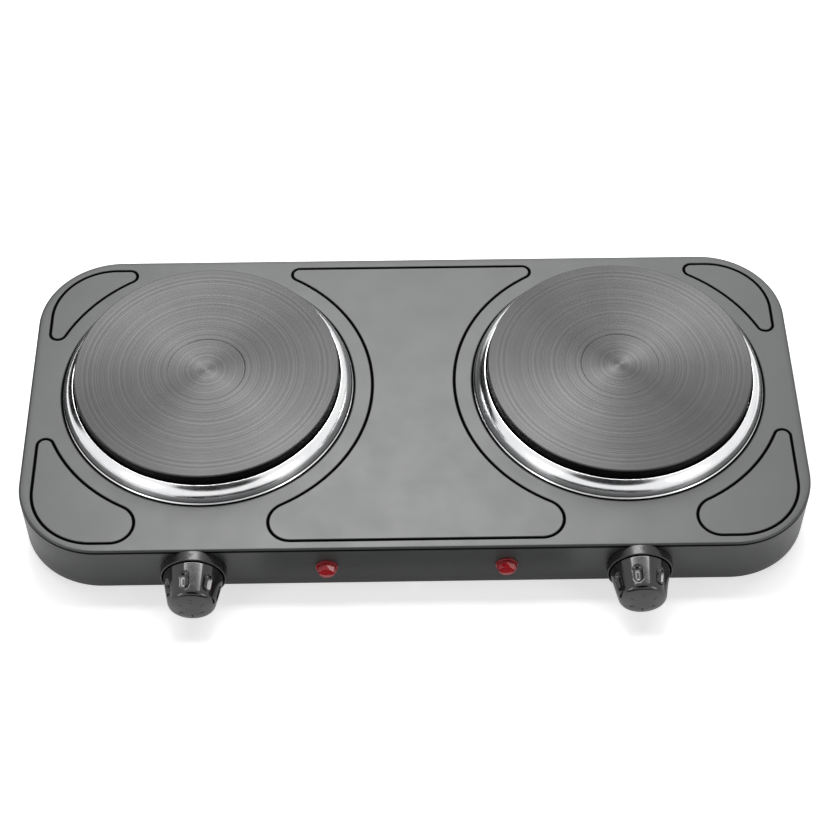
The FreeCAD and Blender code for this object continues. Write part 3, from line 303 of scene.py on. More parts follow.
@dataclass
class SheetMetal:
    """Pressed sheet: patches that each have an outer and an inner skin on the same faces."""
    outer: list[Patch] = field(default_factory=list)
    inner: list[np.ndarray] = field(default_factory=list)

    def add(self, patch: Patch, inner_points: np.ndarray) -> None:
        """Adds a patch and the inner place of each of its points."""
        self.outer.append(patch)
        self.inner.append(inner_points.reshape(-1, 3))

    def closed(self) -> Patch:
        """Both skins, joined along every free edge by a strip as wide as the sheet is thick.

        An edge is free where no face runs along it the other way. A patch with no UV gets zeros, as
        the whole inner skin does.

        Returns:
            The closed sheet.
        """
        for patch in self.outer:
            patch.uv = np.zeros((len(patch.points), 2)) if patch.uv is None else patch.uv
        skin = joined(self.outer)
        inner = np.concatenate(self.inner)
        points, first, faces = merged(skin.points, skin.faces)
        count = len(points)
        inner = inner[first]
        heads, tails = faces, np.roll(faces, -1, axis=1)
        directed = np.stack([heads.ravel(), tails.ravel()], -1)
        directed = directed[directed[:, 0] != directed[:, 1]]
        forward = directed[:, 0] * count + directed[:, 1]
        backward = directed[:, 1] * count + directed[:, 0]
        free = directed[~np.isin(forward, backward)]
        a, b = free[:, 0], free[:, 1]
        rim = np.stack([b, a, a + count, b + count], -1)
        return Patch(np.concatenate([points, inner]),
                     np.concatenate([faces, faces[:, ::-1] + count, rim]),
                     np.concatenate([skin.uv[first], np.zeros((count, 2))]))


def merged(points: np.ndarray, faces: np.ndarray) -> tuple[np.ndarray, np.ndarray, np.ndarray]:
    """Merges points that lie together.

    Args:
        points: (n, 3) array.
        faces: (m, 4) array of point numbers.

    Returns:
        The kept points, the index of each in the old array, and the faces on the kept points.
    """
    keys = np.round(points / WELD_MM).astype(np.int64)
    _, first, inverse = np.unique(keys, axis=0, return_index=True, return_inverse=True)
    return points[first], first, inverse.reshape(-1)[faces]


def make_mesh(name: str, patch: Patch, sharp_deg: float) -> bpy.types.Mesh:
    """Mesh of a patch in metres, with doubled points merged and empty faces dropped.

    Args:
        name: the mesh's name.
        patch: the surface, in millimetres.
        sharp_deg: edges that fold by more than this are shaded sharp.

    Returns:
        The mesh.
    """
    points, _, faces = merged(patch.points, patch.faces)
    kept = faces != np.roll(faces, 1, axis=1)
    whole = kept.sum(1) >= 3
    faces, kept = faces[whole], kept[whole]
    sizes = kept.sum(1)
    mesh = bpy.data.meshes.new(name)
    mesh.vertices.add(len(points))
    mesh.vertices.foreach_set("co", (points * MM).astype(np.float32).ravel())
    mesh.loops.add(int(sizes.sum()))
    mesh.loops.foreach_set("vertex_index", faces[kept].astype(np.int32))
    mesh.polygons.add(len(faces))
    mesh.polygons.foreach_set("loop_start", np.concatenate([[0], np.cumsum(sizes)[:-1]]).astype(np.int32))
    mesh.update(calc_edges=True)
    if patch.uv is not None:
        layer = mesh.uv_layers.new(name=UV_NAME)
        layer.data.foreach_set("uv", patch.uv[patch.faces[whole]][kept].astype(np.float32).ravel())
    mesh.validate()
    mesh.polygons.foreach_set("use_smooth", np.ones(len(mesh.polygons), bool))
    mesh.set_sharp_from_angle(angle=math.radians(sharp_deg))
    return mesh


# ------------------------------------------------------------------ finishes
def linear(colour: str) -> tuple[float, float, float, float]:
    """Linear RGBA of an sRGB colour written as #rrggbb."""
    parts = [int(colour[k:k + 2], 16) / 255 for k in (1, 3, 5)]
    return (*[p / 12.92 if p <= 0.04045 else ((p + 0.055) / 1.055) ** 2.4 for p in parts], 1.0)


def add_node(tree: bpy.types.NodeTree, kind: str, settings: dict | None = None,
             links: dict | None = None) -> bpy.types.Node:
    """Adds one node.

    Args:
        tree: the node tree.
        kind: the node's type name.
        settings: values by input name, input number or attribute name.
        links: sockets by input name or number.

    Returns:
        The node.
    """
    node = tree.nodes.new(kind)
    for key, value in (settings or {}).items():
        if isinstance(key, int) or key in node.inputs:
            node.inputs[key].default_value = value
        else:
            setattr(node, key, value)
    for key, socket in (links or {}).items():
        tree.links.new(socket, node.inputs[key])
    return node


def new_material(name: str) -> tuple[bpy.types.Material, bpy.types.NodeTree]:
    """Starts a material.

    Args:
        name: the material's name.

    Returns:
        The material, and its node tree, which is empty.
    """
    material = bpy.data.materials.new(name)
    material.use_nodes = True
    material.node_tree.nodes.clear()
    return material, material.node_tree


def linked(name: str, data: bpy.types.ID) -> bpy.types.Object:
    """Puts a mesh, a lamp or a camera in the scene.

    Args:
        name: the object's name.
        data: what it shows.

    Returns:
        The object, at the origin.
    """
    shown = bpy.data.objects.new(name, data)
    bpy.context.scene.collection.objects.link(shown)
    return shown


@dataclass(frozen=True)
class Finish:
    """A surface as it was made: two close colours that drift into each other, and a fine relief.

    Attributes:
        slot: material slot of the record.
        name: real material and process.
        colour: main colour.
        drift: colour that the main one drifts to.
        drift_mm: size of the drifting patches.
        grain_mm: size of the fine relief.
        relief_mm: height of the fine relief.
        roughness: lowest and highest roughness over the surface.
        metallic: 1 for bare metal.
        ior: refractive index, left alone on metal.
        extras: further constant values of the shader.
    """
    slot: str
    name: str
    colour: str
    drift: str
    drift_mm: float = 30.0
    grain_mm: float = 1.0
    relief_mm: float = 0.01
    roughness: tuple[float, float] = (0.4, 0.5)
    metallic: float = 0.0
    ior: float = 1.5
    extras: tuple[tuple[str, float], ...] = ()

    made: ClassVar[dict[str, bpy.types.Material]] = {}

    def material(self) -> bpy.types.Material:
        """The finish's material, built once.

        Returns:
            The material, the same one at each call.
        """
        if self.name not in Finish.made:
            material, tree = new_material(self.name)
            shader = add_node(tree, "ShaderNodeBsdfPrincipled",
                              {"Metallic": self.metallic, **dict(self.extras)})
            if self.metallic < METAL:
                shader.inputs["IOR"].default_value = self.ior
            place = add_node(tree, "ShaderNodeTexCoord").outputs["Object"]
            self.dress(tree, shader, place)
            add_node(tree, "ShaderNodeOutputMaterial", links={"Surface": shader.outputs["BSDF"]})
            Finish.made[self.name] = material
        return Finish.made[self.name]

    def noise(self, tree: bpy.types.NodeTree, place: bpy.types.NodeSocket, size_mm: float,
              detail: float = 3.0) -> bpy.types.NodeSocket:
        """Cloudy 0 to 1 pattern whose patches are about size_mm across."""
        node = add_node(tree, "ShaderNodeTexNoise", {"Scale": 1 / (size_mm * MM), "Detail": detail,
                                                      "Roughness": 0.55}, {"Vector": place})
        return node.outputs[0]

    def ranged(self, tree: bpy.types.NodeTree, value: bpy.types.NodeSocket, low: float,
               high: float) -> bpy.types.NodeSocket:
        """A 0 to 1 pattern spread between low and high, with its middle half stretched to full."""
        node = add_node(tree, "ShaderNodeMapRange", {"From Min": 0.3, "From Max": 0.7, "To Min": low,
                                                      "To Max": high}, {"Value": value})
        return node.outputs["Result"]

    def blended(self, tree: bpy.types.NodeTree, factor: bpy.types.NodeSocket, first: str,
                second: str) -> bpy.types.NodeSocket:
        """Mix of two written colours by a 0 to 1 pattern."""
        colours = {"data_type": "RGBA", MIX_A: linear(first), MIX_B: linear(second)}
        return add_node(tree, "ShaderNodeMix", colours, {0: factor}).outputs[MIX_COLOUR]

    def relief(self, tree: bpy.types.NodeTree, shader: bpy.types.Node, height: bpy.types.NodeSocket,
               height_mm: float) -> None:
        """Raises the surface by a 0 to 1 pattern times height_mm."""
        bump = add_node(tree, "ShaderNodeBump", {"Distance": height_mm * MM, "Strength": 1.0},
                        {"Height": height})
        tree.links.new(bump.outputs["Normal"], shader.inputs["Normal"])

    def drifting(self, tree: bpy.types.NodeTree, place: bpy.types.NodeSocket) -> bpy.types.NodeSocket:
        """The two colours, drifting into each other."""
        cloud = self.noise(tree, place, self.drift_mm)
        return self.blended(tree, self.ranged(tree, cloud, 0.0, 1.0), self.colour, self.drift)

    def worn(self, tree: bpy.types.NodeTree, place: bpy.types.NodeSocket) -> bpy.types.NodeSocket:
        """Roughness that wanders between its two limits."""
        return self.ranged(tree, self.noise(tree, place, self.drift_mm / 3), *self.roughness)

    def dress(self, tree: bpy.types.NodeTree, shader: bpy.types.Node, place: bpy.types.NodeSocket) -> None:
        """Links colour, roughness and relief of the plain drifting surface.

        Args:
            tree: the material's node tree.
            shader: its shader.
            place: Object coordinates.
        """
        tree.links.new(self.drifting(tree, place), shader.inputs["Base Color"])
        tree.links.new(self.worn(tree, place), shader.inputs["Roughness"])
        self.relief(tree, shader, self.noise(tree, place, self.grain_mm, 2.0), self.relief_mm)


@dataclass(frozen=True)
class PressedEnamel(Finish):
    """Enamel over pressed grooves and bends, with painted shade: black and dull in the grooves, round the
    rings' feet and under the rim.

    Attributes:
        painted_shade_colour: colour of the painted shade, in the grooves and along the painted shadow lines.
        painted_shade_rough: how much rougher the surface is under the painted shade.
        painted_ring_shadow_mm: distances from a ring's centre at which the painted contact shadow round its
            foot ends and fades out.
        painted_rim_shadow_mm: depths below the top at which the painted shadow line along the rim starts and
            is full.
        painted_rim_shadow_end_mm: depths at which that painted shadow line starts to fade and ends.
    """
    painted_shade_colour: str = "#050505"
    painted_shade_rough: float = 0.4
    painted_ring_shadow_mm: tuple[float, float] = (103.3, 104.4)
    painted_rim_shadow_mm: tuple[float, float] = (0.9, 1.4)
    painted_rim_shadow_end_mm: tuple[float, float] = (2.7, 3.3)

    def between(self, tree: bpy.types.NodeTree, value: bpy.types.NodeSocket, start_mm: float,
                end_mm: float) -> bpy.types.NodeSocket:
        """0 where a length in metres is at its start, and 1 where it is at its end."""
        ends = {"From Min": start_mm * MM, "From Max": end_mm * MM}
        return add_node(tree, "ShaderNodeMapRange", ends, {"Value": value}).outputs["Result"]

    def dress(self, tree: bpy.types.NodeTree, shader: bpy.types.Node, place: bpy.types.NodeSocket) -> None:
        """Links the drifting surface, painted black as shade in the grooves, round the rings' feet and under
        the rim.

        The painted shade is given as a black metal, so that it has no pale sheen either. Both rings
        are tested at once, by the distance of (|x|, |y - y0|) from (x0, 0), where x0, y0 is the right
        ring's centre. The rim's painted shadow line is the product of its upper and lower fade, by height.

        Args:
            tree: the material's node tree.
            shader: its shader.
            place: Object coordinates.
        """
        # Painted shade: black in the grooves by their depth share, in a painted contact shadow round each
        # ring's foot, and in a painted shadow line under the rim.
        uv = add_node(tree, "ShaderNodeUVMap", {"uv_map": UV_NAME}).outputs["UV"]
        split = add_node(tree, "ShaderNodeSeparateXYZ", links={0: uv})
        deep = add_node(tree, "ShaderNodeMapRange", {"From Min": 0.05, "From Max": 0.6},
                        {"Value": split.outputs["X"]}).outputs["Result"]
        flat = add_node(tree, "ShaderNodeVectorMath", {"operation": "MULTIPLY_ADD", 1: (1.0, 1.0, 0.0),
                                                       2: (0.0, -PLATE_Y * MM, 0.0)}, {0: place}).outputs[0]
        mirrored = add_node(tree, "ShaderNodeVectorMath", {"operation": "ABSOLUTE"}, {0: flat}).outputs[0]
        away = add_node(tree, "ShaderNodeVectorMath", {"operation": "DISTANCE", 1: (RING_X * MM, 0.0, 0.0)},
                        {0: mirrored})
        # Painted contact shadow on the enamel round each ring's foot.
        seam = self.between(tree, away.outputs["Value"], self.painted_ring_shadow_mm[1], self.painted_ring_shadow_mm[0])
        level = add_node(tree, "ShaderNodeSeparateXYZ", links={0: place}).outputs["Z"]
        # Painted shadow line along the rim's lower bend and the top of the wall.
        below = self.between(tree, level, TOP_Z - self.painted_rim_shadow_mm[0], TOP_Z - self.painted_rim_shadow_mm[1])
        above = self.between(tree, level, TOP_Z - self.painted_rim_shadow_end_mm[1], TOP_Z - self.painted_rim_shadow_end_mm[0])
        rim = add_node(tree, "ShaderNodeMath", {"operation": "MULTIPLY"}, {0: below, 1: above}).outputs[0]
        for line in (seam, rim):
            deep = add_node(tree, "ShaderNodeMath", {"operation": "MAXIMUM"}, {0: deep, 1: line}).outputs[0]
        colour = add_node(tree, "ShaderNodeMix", {"data_type": "RGBA", MIX_B: linear(self.painted_shade_colour)},
                          {0: deep, MIX_A: self.drifting(tree, place)})
        rough = add_node(tree, "ShaderNodeMath", {"operation": "MULTIPLY_ADD", 1: self.painted_shade_rough},
                         {0: deep, 2: self.worn(tree, place)})
        tree.links.new(colour.outputs[MIX_COLOUR], shader.inputs["Base Color"])
        tree.links.new(rough.outputs[0], shader.inputs["Roughness"])
        # The painted shade is made a black metal, which takes away the sheen there as well.
        tree.links.new(deep, shader.inputs["Metallic"])
        self.relief(tree, shader, self.noise(tree, place, self.grain_mm, 2.0), self.relief_mm)


@dataclass(frozen=True)
class TurnedIron(Finish):
    """Cast iron faced on a lathe: ring marks that stretch the sheen across them, and a side left as cast.

    Attributes:
        mark_mm: spacing of the turning marks.
        cast: colour of the side, which isn't turned.
        cast_mm: length of the side along the profile.
    """
    mark_mm: float = 1.85
    cast: str = "#101010"
    cast_mm: float = 16.9

    def dress(self, tree: bpy.types.NodeTree, shader: bpy.types.Node, place: bpy.types.NodeSocket) -> None:
        """Links ring-wise colour and roughness, and the direction of the turning marks.

        Colour follows half the ring noise plus half the cloud, and is the cast colour on the side.

        Args:
            tree: the material's node tree.
            shader: its shader.
            place: Object coordinates.
        """
        uv = add_node(tree, "ShaderNodeUVMap", {"uv_map": UV_NAME}).outputs["UV"]
        split = add_node(tree, "ShaderNodeSeparateXYZ", links={0: uv})
        ring = add_node(tree, "ShaderNodeTexNoise", {"noise_dimensions": "1D", "Scale": 1 / self.mark_mm,
                                                      "Detail": 2.0}, {"W": split.outputs["Y"]}).outputs[0]
        cloud = self.noise(tree, place, self.drift_mm)
        half = add_node(tree, "ShaderNodeMath", {"operation": "MULTIPLY", 1: 0.5}, {0: cloud}).outputs[0]
        both = add_node(tree, "ShaderNodeMath", {"operation": "MULTIPLY_ADD", 1: 0.5}, {0: ring, 2: half})
        spread = self.ranged(tree, both.outputs[0], 0.0, 1.0)
        turned = add_node(tree, "ShaderNodeMath", {"operation": "GREATER_THAN", 1: self.cast_mm},
                          {0: split.outputs["Y"]}).outputs[0]
        colour = add_node(tree, "ShaderNodeMix", {"data_type": "RGBA", MIX_A: linear(self.cast)},
                          {0: turned, MIX_B: self.blended(tree, spread, self.colour, self.drift)})
        tree.links.new(colour.outputs[MIX_COLOUR], shader.inputs["Base Color"])
        tree.links.new(self.ranged(tree, ring, *self.roughness), shader.inputs["Roughness"])
        along = add_node(tree, "ShaderNodeTangent", {"direction_type": "UV_MAP", "uv_map": UV_NAME})
        tree.links.new(along.outputs["Tangent"], shader.inputs["Tangent"])
        self.relief(tree, shader, self.noise(tree, place, self.grain_mm, 2.0), self.relief_mm)


@dataclass(frozen=True)
class WovenSleeve(Finish):
    """Glass-fibre sleeving: two families of crossing threads.

    Attributes:
        thread_mm: spacing of the threads.
    """
    thread_mm: float = 0.8

    def dress(self, tree: bpy.types.NodeTree, shader: bpy.types.Node, place: bpy.types.NodeSocket) -> None:
        """Links the crossing threads' colour and relief: two waves, of which the higher is on top.

        Args:
            tree: the material's node tree.
            shader: its shader.
            place: Object coordinates.
        """
        threads = []
        for turn in (45.0, -45.0):
            spun = add_node(tree, "ShaderNodeMapping", {"Rotation": (0.0, 0.0, math.radians(turn))},
                            {"Vector": place})
            threads.append(add_node(tree, "ShaderNodeTexWave",
                                    {"Scale": 1 / (self.thread_mm * MM) / math.tau, "Distortion": 0.4},
                                    {"Vector": spun.outputs[0]}).outputs["Fac"])
        weave = add_node(tree, "ShaderNodeMath", {"operation": "MAXIMUM"},
                         {0: threads[0], 1: threads[1]}).outputs[0]
        tree.links.new(self.blended(tree, weave, self.drift, self.colour), shader.inputs["Base Color"])
        wear = self.noise(tree, place, self.drift_mm)
        tree.links.new(self.ranged(tree, wear, *self.roughness), shader.inputs["Roughness"])
        self.relief(tree, shader, weave, self.relief_mm)


# Satin stoving enamel on pressed steel: dark grey, with a soft sheen and a faint orange peel, and painted
# shade in the grooves, round the rings' feet and under the rim.
ENAMEL = PressedEnamel("housing_paint", "satin_stoved_enamel", "#232525", "#272929", 60.0, 1.6, 0.004,
                       (0.39, 0.44), 0.0, 1.62)
# Powder coat on the base sheet: matt black with a fine even grain.
POWDER_COAT = Finish("base_paint", "black_powder_coat", "#191a1b", "#222324", 25.0, 0.7, 0.03, (0.62, 0.72))
# Bright chromium plating on brushed steel: a near-white mirror with a soft polishing haze.
CHROME = Finish("ring_chrome", "bright_chromium_plate", "#f0f0f1", "#e6e7e9", 18.0, 9.0, 0.001, (0.15, 0.20),
                1.0)
# Grey iron turned in rings and blackened by heat: a soft bow-tie sheen across the turning marks.
IRON = TurnedIron("plate_iron", "turned_grey_iron", "#4a4a4a", "#424242", 40.0, 0.5, 0.002, (0.36, 0.42),
                  1.0, extras=(("Anisotropic", 0.9), ("Anisotropic Rotation", 0.25)))
# Oxidised resistance alloy of the heating conductor: dull grey brown.
COIL_ALLOY = Finish("coil_alloy", "oxidised_resistance_alloy", "#6b625a", "#4a423c", 6.0, 0.5, 0.02,
                    (0.5, 0.7), 1.0)
# Packed magnesia cement: chalky, pitted, cream.
CEMENT = Finish("coil_cement", "packed_magnesia_cement", "#cdc3b4", "#b3a794", 9.0, 0.8, 0.15, (0.85, 0.95))
# Aluminised steel shield: bright rolled sheet with a faint spangle.
SHIELD = Finish("shield_sheet", "aluminised_sheet", "#d8d9da", "#c3c5c8", 4.0, 2.0, 0.006, (0.25, 0.38), 1.0)
# Zinc plate on fasteners: pale blue-grey passivated film.
ZINC = Finish("zinc_steel", "zinc_plated_steel", "#cfd2d4", "#b9bcc4", 5.0, 0.6, 0.006, (0.28, 0.42), 1.0)
# Bright drawn steel of shafts and pins: clean grey with fine draw lines.
DRAWN_STEEL = Finish("bright_steel", "bright_drawn_steel", "#c4c4c2", "#aeaeae", 5.0, 0.4, 0.004,
                     (0.22, 0.34), 1.0)
# Blued spring steel: dark blue-grey temper film.
SPRING_STEEL = Finish("spring_steel", "blued_spring_steel", "#595d68", "#454a58", 5.0, 0.5, 0.004,
                      (0.28, 0.4), 1.0)
# Phenolic moulding of the dials: deep black with a wet-looking gloss and a slightly wavy skin.
DIAL_PHENOLIC = Finish("knob_phenolic", "gloss_black_phenolic", "#121213", "#0c0c0d", 12.0, 5.0, 0.004,
                       (0.10, 0.15), 0.0, 1.58, (("Coat Weight", 0.2), ("Coat Roughness", 0.05)))
# Phenolic moulding of the collars: the same black, a little less polished.
COLLAR_PHENOLIC = Finish("collar_phenolic", "black_phenolic", "#141415", "#0e0e0f", 12.0, 4.0, 0.008,
                         (0.24, 0.32), 0.0, 1.52)
# Natural nylon of the cams: milky, waxy.
NYLON = Finish("cam_nylon", "natural_nylon", "#dcd8c8", "#cfcab8", 8.0, 1.0, 0.02, (0.45, 0.55), 0.0, 1.53,
               (("Subsurface Weight", 0.2), ("Subsurface Scale", 0.002)))
# Brown phenolic of the regulator cases: flecked, dull.
CASE_PHENOLIC = Finish("case_phenolic", "brown_phenolic", "#4a2f22", "#38231a", 4.0, 0.7, 0.03,
                       (0.45, 0.6), 0.0, 1.6)
# Rolled bimetal: warm grey with rolling haze.
BIMETAL = Finish("bimetal_strip", "rolled_bimetal", "#b7a488", "#a08f78", 5.0, 0.4, 0.004, (0.3, 0.42), 1.0)
# Bright brass of blades and clamps.
BRASS = Finish("brass_parts", "bright_brass", "#d8b45c", "#c49c48", 5.0, 0.5, 0.004, (0.22, 0.34), 1.0)
# Clear red polycarbonate of the pilot lenses: deep red where thick, pink where the light gets through.
LENS_RED = Finish("lens_red", "clear_red_polycarbonate", "#d2303a", "#c02832", 4.0, 2.0, 0.006, (0.10, 0.18),
                  0.0, 1.58, (("Transmission Weight", 0.35), ("Subsurface Weight", 0.3),
                              ("Subsurface Scale", 0.003)))
# Clear glass of the neon bulbs.
NEON_GLASS = Finish("neon_glass", "clear_bulb_glass", "#f4efe8", "#eee6dc", 4.0, 2.0, 0.002, (0.02, 0.05),
                    0.0, 1.5, (("Transmission Weight", 0.9),))
# Woven glass-fibre sleeving of the inner leads: off-white crossing threads.
SLEEVE = WovenSleeve("lead_sleeve", "woven_glass_sleeving", "#dcd8cc", "#a9a392", 6.0, 0.5, 0.12, (0.75, 0.9))
# Moulded rubber of the feet: soft black with a bloom.
RUBBER = Finish("foot_rubber", "moulded_black_rubber", "#1d1d1e", "#262627", 6.0, 0.6, 0.03, (0.7, 0.85),
                0.0, 1.52)
# Black nylon of the cord bush: dull satin.
BUSH_NYLON = Finish("gland_nylon", "moulded_black_nylon", "#18181a", "#202022", 6.0, 0.8, 0.02, (0.42, 0.54),
                    0.0, 1.53)
# Unglazed steatite of the terminal block: matt, slightly grainy cream.
STEATITE = Finish("steatite", "unglazed_steatite", "#e0dac8", "#d4ccb6", 6.0, 0.5, 0.05, (0.7, 0.85))

FINISHES = (ENAMEL, POWDER_COAT, CHROME, IRON, COIL_ALLOY, CEMENT, SHIELD, ZINC, DRAWN_STEEL, SPRING_STEEL,
            DIAL_PHENOLIC, COLLAR_PHENOLIC, NYLON, CASE_PHENOLIC, BIMETAL, BRASS, LENS_RED, NEON_GLASS,
            SLEEVE, RUBBER, BUSH_NYLON, STEATITE)


def place_piece(name: str, patch: Patch, finish: Finish, body: Body, nodes: tuple[str, ...] = (),
                sharp_deg: float = 38.0) -> bpy.types.Object:
    """Makes one finished piece and hands it to the frame.

    Args:
        name: the piece's name.
        patch: its surface, in millimetres.
        finish: its finish.
        body: the body it rides on.
        nodes: frame nodes that it stands for.
        sharp_deg: edges that fold by more than this are shaded sharp.

    Returns:
        The object.
    """
    mesh = make_mesh(name, patch, sharp_deg)
    mesh.materials.append(finish.material())
    piece = linked(name, mesh)
    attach(piece, body.value)
    if nodes:
        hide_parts(*nodes)
    log.info("%s: %d faces", name, len(mesh.polygons))
    return piece


# ------------------------------------------------------------------ housing
@dataclass
class Outline:
    """Closed outline of arcs joined by straight runs, gone round counter-clockwise.

    Attributes:
        arcs: (centre x, centre y, radius, start angle, end angle) in millimetres and degrees. An arc
            whose angle falls is hollow, so its outward side faces its centre.
        step: longest step along an arc.
        step_deg: largest turn in a step.
        run_step: longest step along a straight run.
    """
    arcs: list[tuple[float, float, float, float, float]]
    step: float = 1.9
    step_deg: float = 6.0
    run_step: float = 6.0

    def sampled(self) -> tuple[np.ndarray, np.ndarray]:
        """Walks round the outline. A run shorter than the weld distance leaves out the doubled point.

        Returns:
            Points of the outline and the outward direction at each, both (n, 2).
        """
        points, normals = [], []
        for x, y, radius, start, end in self.arcs:
            turn = math.radians(end - start)
            steps = max(math.ceil(abs(turn) * radius / self.step),
                        math.ceil(abs(turn) / math.radians(self.step_deg)))
            angle = math.radians(start) + turn * np.linspace(0, 1, steps + 1)
            ray = np.stack([np.cos(angle), np.sin(angle)], -1)
            points.append(np.array([x, y]) + radius * ray)
            normals.append(ray * math.copysign(1, turn))
        runs_p, runs_n = [], []
        for here, normal, after in zip(points, normals, points[1:] + points[:1]):
            gap = float(np.linalg.norm(after[0] - here[-1]))
            steps = max(1, math.ceil(gap / self.run_step))
            share = np.linspace(0, 1, steps + 1)[1:-1, None]
            runs_p += [here, here[-1] + share * (after[0] - here[-1])]
            runs_n += [normal, np.repeat(normal[-1:], len(share), axis=0)]
            if gap < WELD_MM:
                runs_p[-2], runs_n[-2] = here[:-1], normal[:-1]
        return np.concatenate(runs_p), np.concatenate(runs_n)

    def mirrored(self) -> "Outline":
        """The outline on the other side of the housing."""
        turned = [(-x, y, r, 180 - end, 180 - start) for x, y, r, start, end in reversed(self.arcs)]
        return Outline(turned)


@dataclass
class Housing:
    """Pressed housing: flat top with pressed grooves, rounded rim, walls and an inward flange.

    The fills are the spacing of the points inside a flat sheet and their clearance from its edges.
    """
    width: float = 540.0
    depth: float = 257.0
    corner_r: float = 57.5
    rim_r: float = 1.6
    bend_r: float = 1.4
    base_z: float = 8.0
    sheet: float = 0.8
    flange: float = 9.8
    margin: float = 4.15
    hole_r: float = 95.0
    side_gap: float = 9.2
    back_gap: float = 8.2
    front_gap: float = 7.1
    ring_groove_r: float = 115.7
    ring_back: float = 10.7
    corner_groove_r: float = 44.0
    lobe_r: float = 15.6
    tip_r: float = 5.7
    groove_half: float = 1.15
    groove_floor: float = 0.4
    groove_depth: float = 1.2
    groove_edge: float = 1.4
    wall_rows: int = 7
    long_steps: int = 85
    short_steps: int = 28
    corner_steps: int = 38
    wall_fill: tuple[float, float] = (8.0, 3.0)
    top_fill: tuple[float, float] = (12.0, 4.0)
    spindle_hole_r: float = 5.5
    screw_hole_r: float = 2.2
    screw_reach: float = 14.0
    lamp_hole_r: float = 5.1
    cord_hole_r: float = 7.9

    def lines(self) -> tuple[float, float, float]:
        """Side, back and front lines of the grooves, from the housing's centre."""
        return (self.width / 2 - self.side_gap, self.depth / 2 - self.back_gap,
                -self.depth / 2 + self.front_gap)

    def fillet_on_line(self, sx: int, line_y: float, radius: float) -> tuple[float, float, float]:
        """Centre of a fillet between a groove line of constant y and the ring groove, and its direction.

        The fillet's centre is one radius inside the line and one radius outside the ring groove.

        Args:
            sx: side of the hotplate's centre that the fillet lies on.
            line_y: the line.
            radius: the fillet's radius.

        Returns:
            Centre x and y, and the angle in degrees from the hotplate's centre to it.
        """
        y = line_y - math.copysign(radius, line_y)
        rise = y - self.ring_back
        run = sx * math.sqrt((self.ring_groove_r + radius) ** 2 - rise ** 2)
        return RING_X + run, y, math.degrees(math.atan2(rise, run))

    def centre_panel(self) -> Outline:
        """Outline of the panel between the hotplates: its right half, and that half mirrored.

        Returns:
            The outline, from the housing's centre.
        """
        _, back, front = self.lines()
        fx, fy, fa = self.fillet_on_line(-1, front, self.lobe_r)
        bx, by, ba = self.fillet_on_line(-1, back, self.tip_r)
        right = [(fx, fy, self.lobe_r, -90, fa + 180),
                 (RING_X, self.ring_back, self.ring_groove_r, fa + 360, ba),
                 (bx, by, self.tip_r, ba - 180, 90)]
        return Outline(right + Outline(right).mirrored().arcs)

    def corner_panel(self, sy: int) -> Outline:
        """Outline of a right corner panel: two lines, the corner's bend, the ring groove and two tips.

        Args:
            sy: 1 for the back corner, -1 for the front one.

        Returns:
            The outline, from the housing's centre.
        """
        side, back, front = self.lines()
        line_y, radius = (back, self.tip_r) if sy > 0 else (front, self.lobe_r)
        ix, iy, ia = self.fillet_on_line(1, line_y, radius)
        ox = side - self.tip_r
        rise = sy * math.sqrt((self.ring_groove_r + self.tip_r) ** 2 - (ox - RING_X) ** 2)
        oy, oa = self.ring_back + rise, math.degrees(math.atan2(rise, ox - RING_X))
        bend = (side - self.corner_groove_r, line_y - sy * self.corner_groove_r, self.corner_groove_r)
        ring = (RING_X, self.ring_back, self.ring_groove_r)
        if sy > 0:
            return Outline([(*bend, 0, 90), (ix, iy, radius, 90, ia + 180), (*ring, ia, oa),
                            (ox, oy, self.tip_r, oa + 180, 360)])
        return Outline([(*bend, -90, 0), (ox, oy, self.tip_r, 0, oa + 180), (*ring, oa, ia),
                        (ix, iy, radius, ia + 180, 270)])

    def groove_section(self) -> np.ndarray:
        """Section across a groove: distance from its centre line, and height below the top."""
        half, floor, low, edge = self.groove_half, self.groove_floor, -self.groove_depth, self.groove_edge
        return rounded([(edge, 0), (half, 0), (floor, low), (-floor, low), (-half, 0), (-edge, 0)],
                       [0, 0.3, 0.3, 0.3, 0.3, 0], closed=False, step_deg=30)

    def groove(self, outline: Outline) -> tuple[Patch, np.ndarray, np.ndarray]:
        """Groove pressed along an outline.

        Point(s, d) = outline(s) + outward(s) d, lowered by the section's depth at d. U is the depth
        as a share of the full depth.

        Args:
            outline: the groove's centre line, from the housing's centre.

        Returns:
            The strip, and its outer and inner edges as loops.
        """
        path, normal = outline.sampled()
        section = self.groove_section()
        flat = path[None] + normal[None] * section[:, :1, None]
        flat = flat + np.array([0.0, BODY_Y])
        height = np.broadcast_to(TOP_Z + section[:, 1:], flat.shape[:2])
        points = np.concatenate([flat, height[..., None]], -1)
        # The depth share sets how dark the enamel's painted shade makes the groove.
        depth = np.broadcast_to(-section[:, 1:] / self.groove_depth, flat.shape[:2])
        uv = np.stack([depth, np.zeros_like(depth)], -1)
        strip = grid_patch(np.concatenate([points, points[:, :1]], 1), np.concatenate([uv, uv[:, :1]], 1))
        return strip, flat[0], flat[-1]

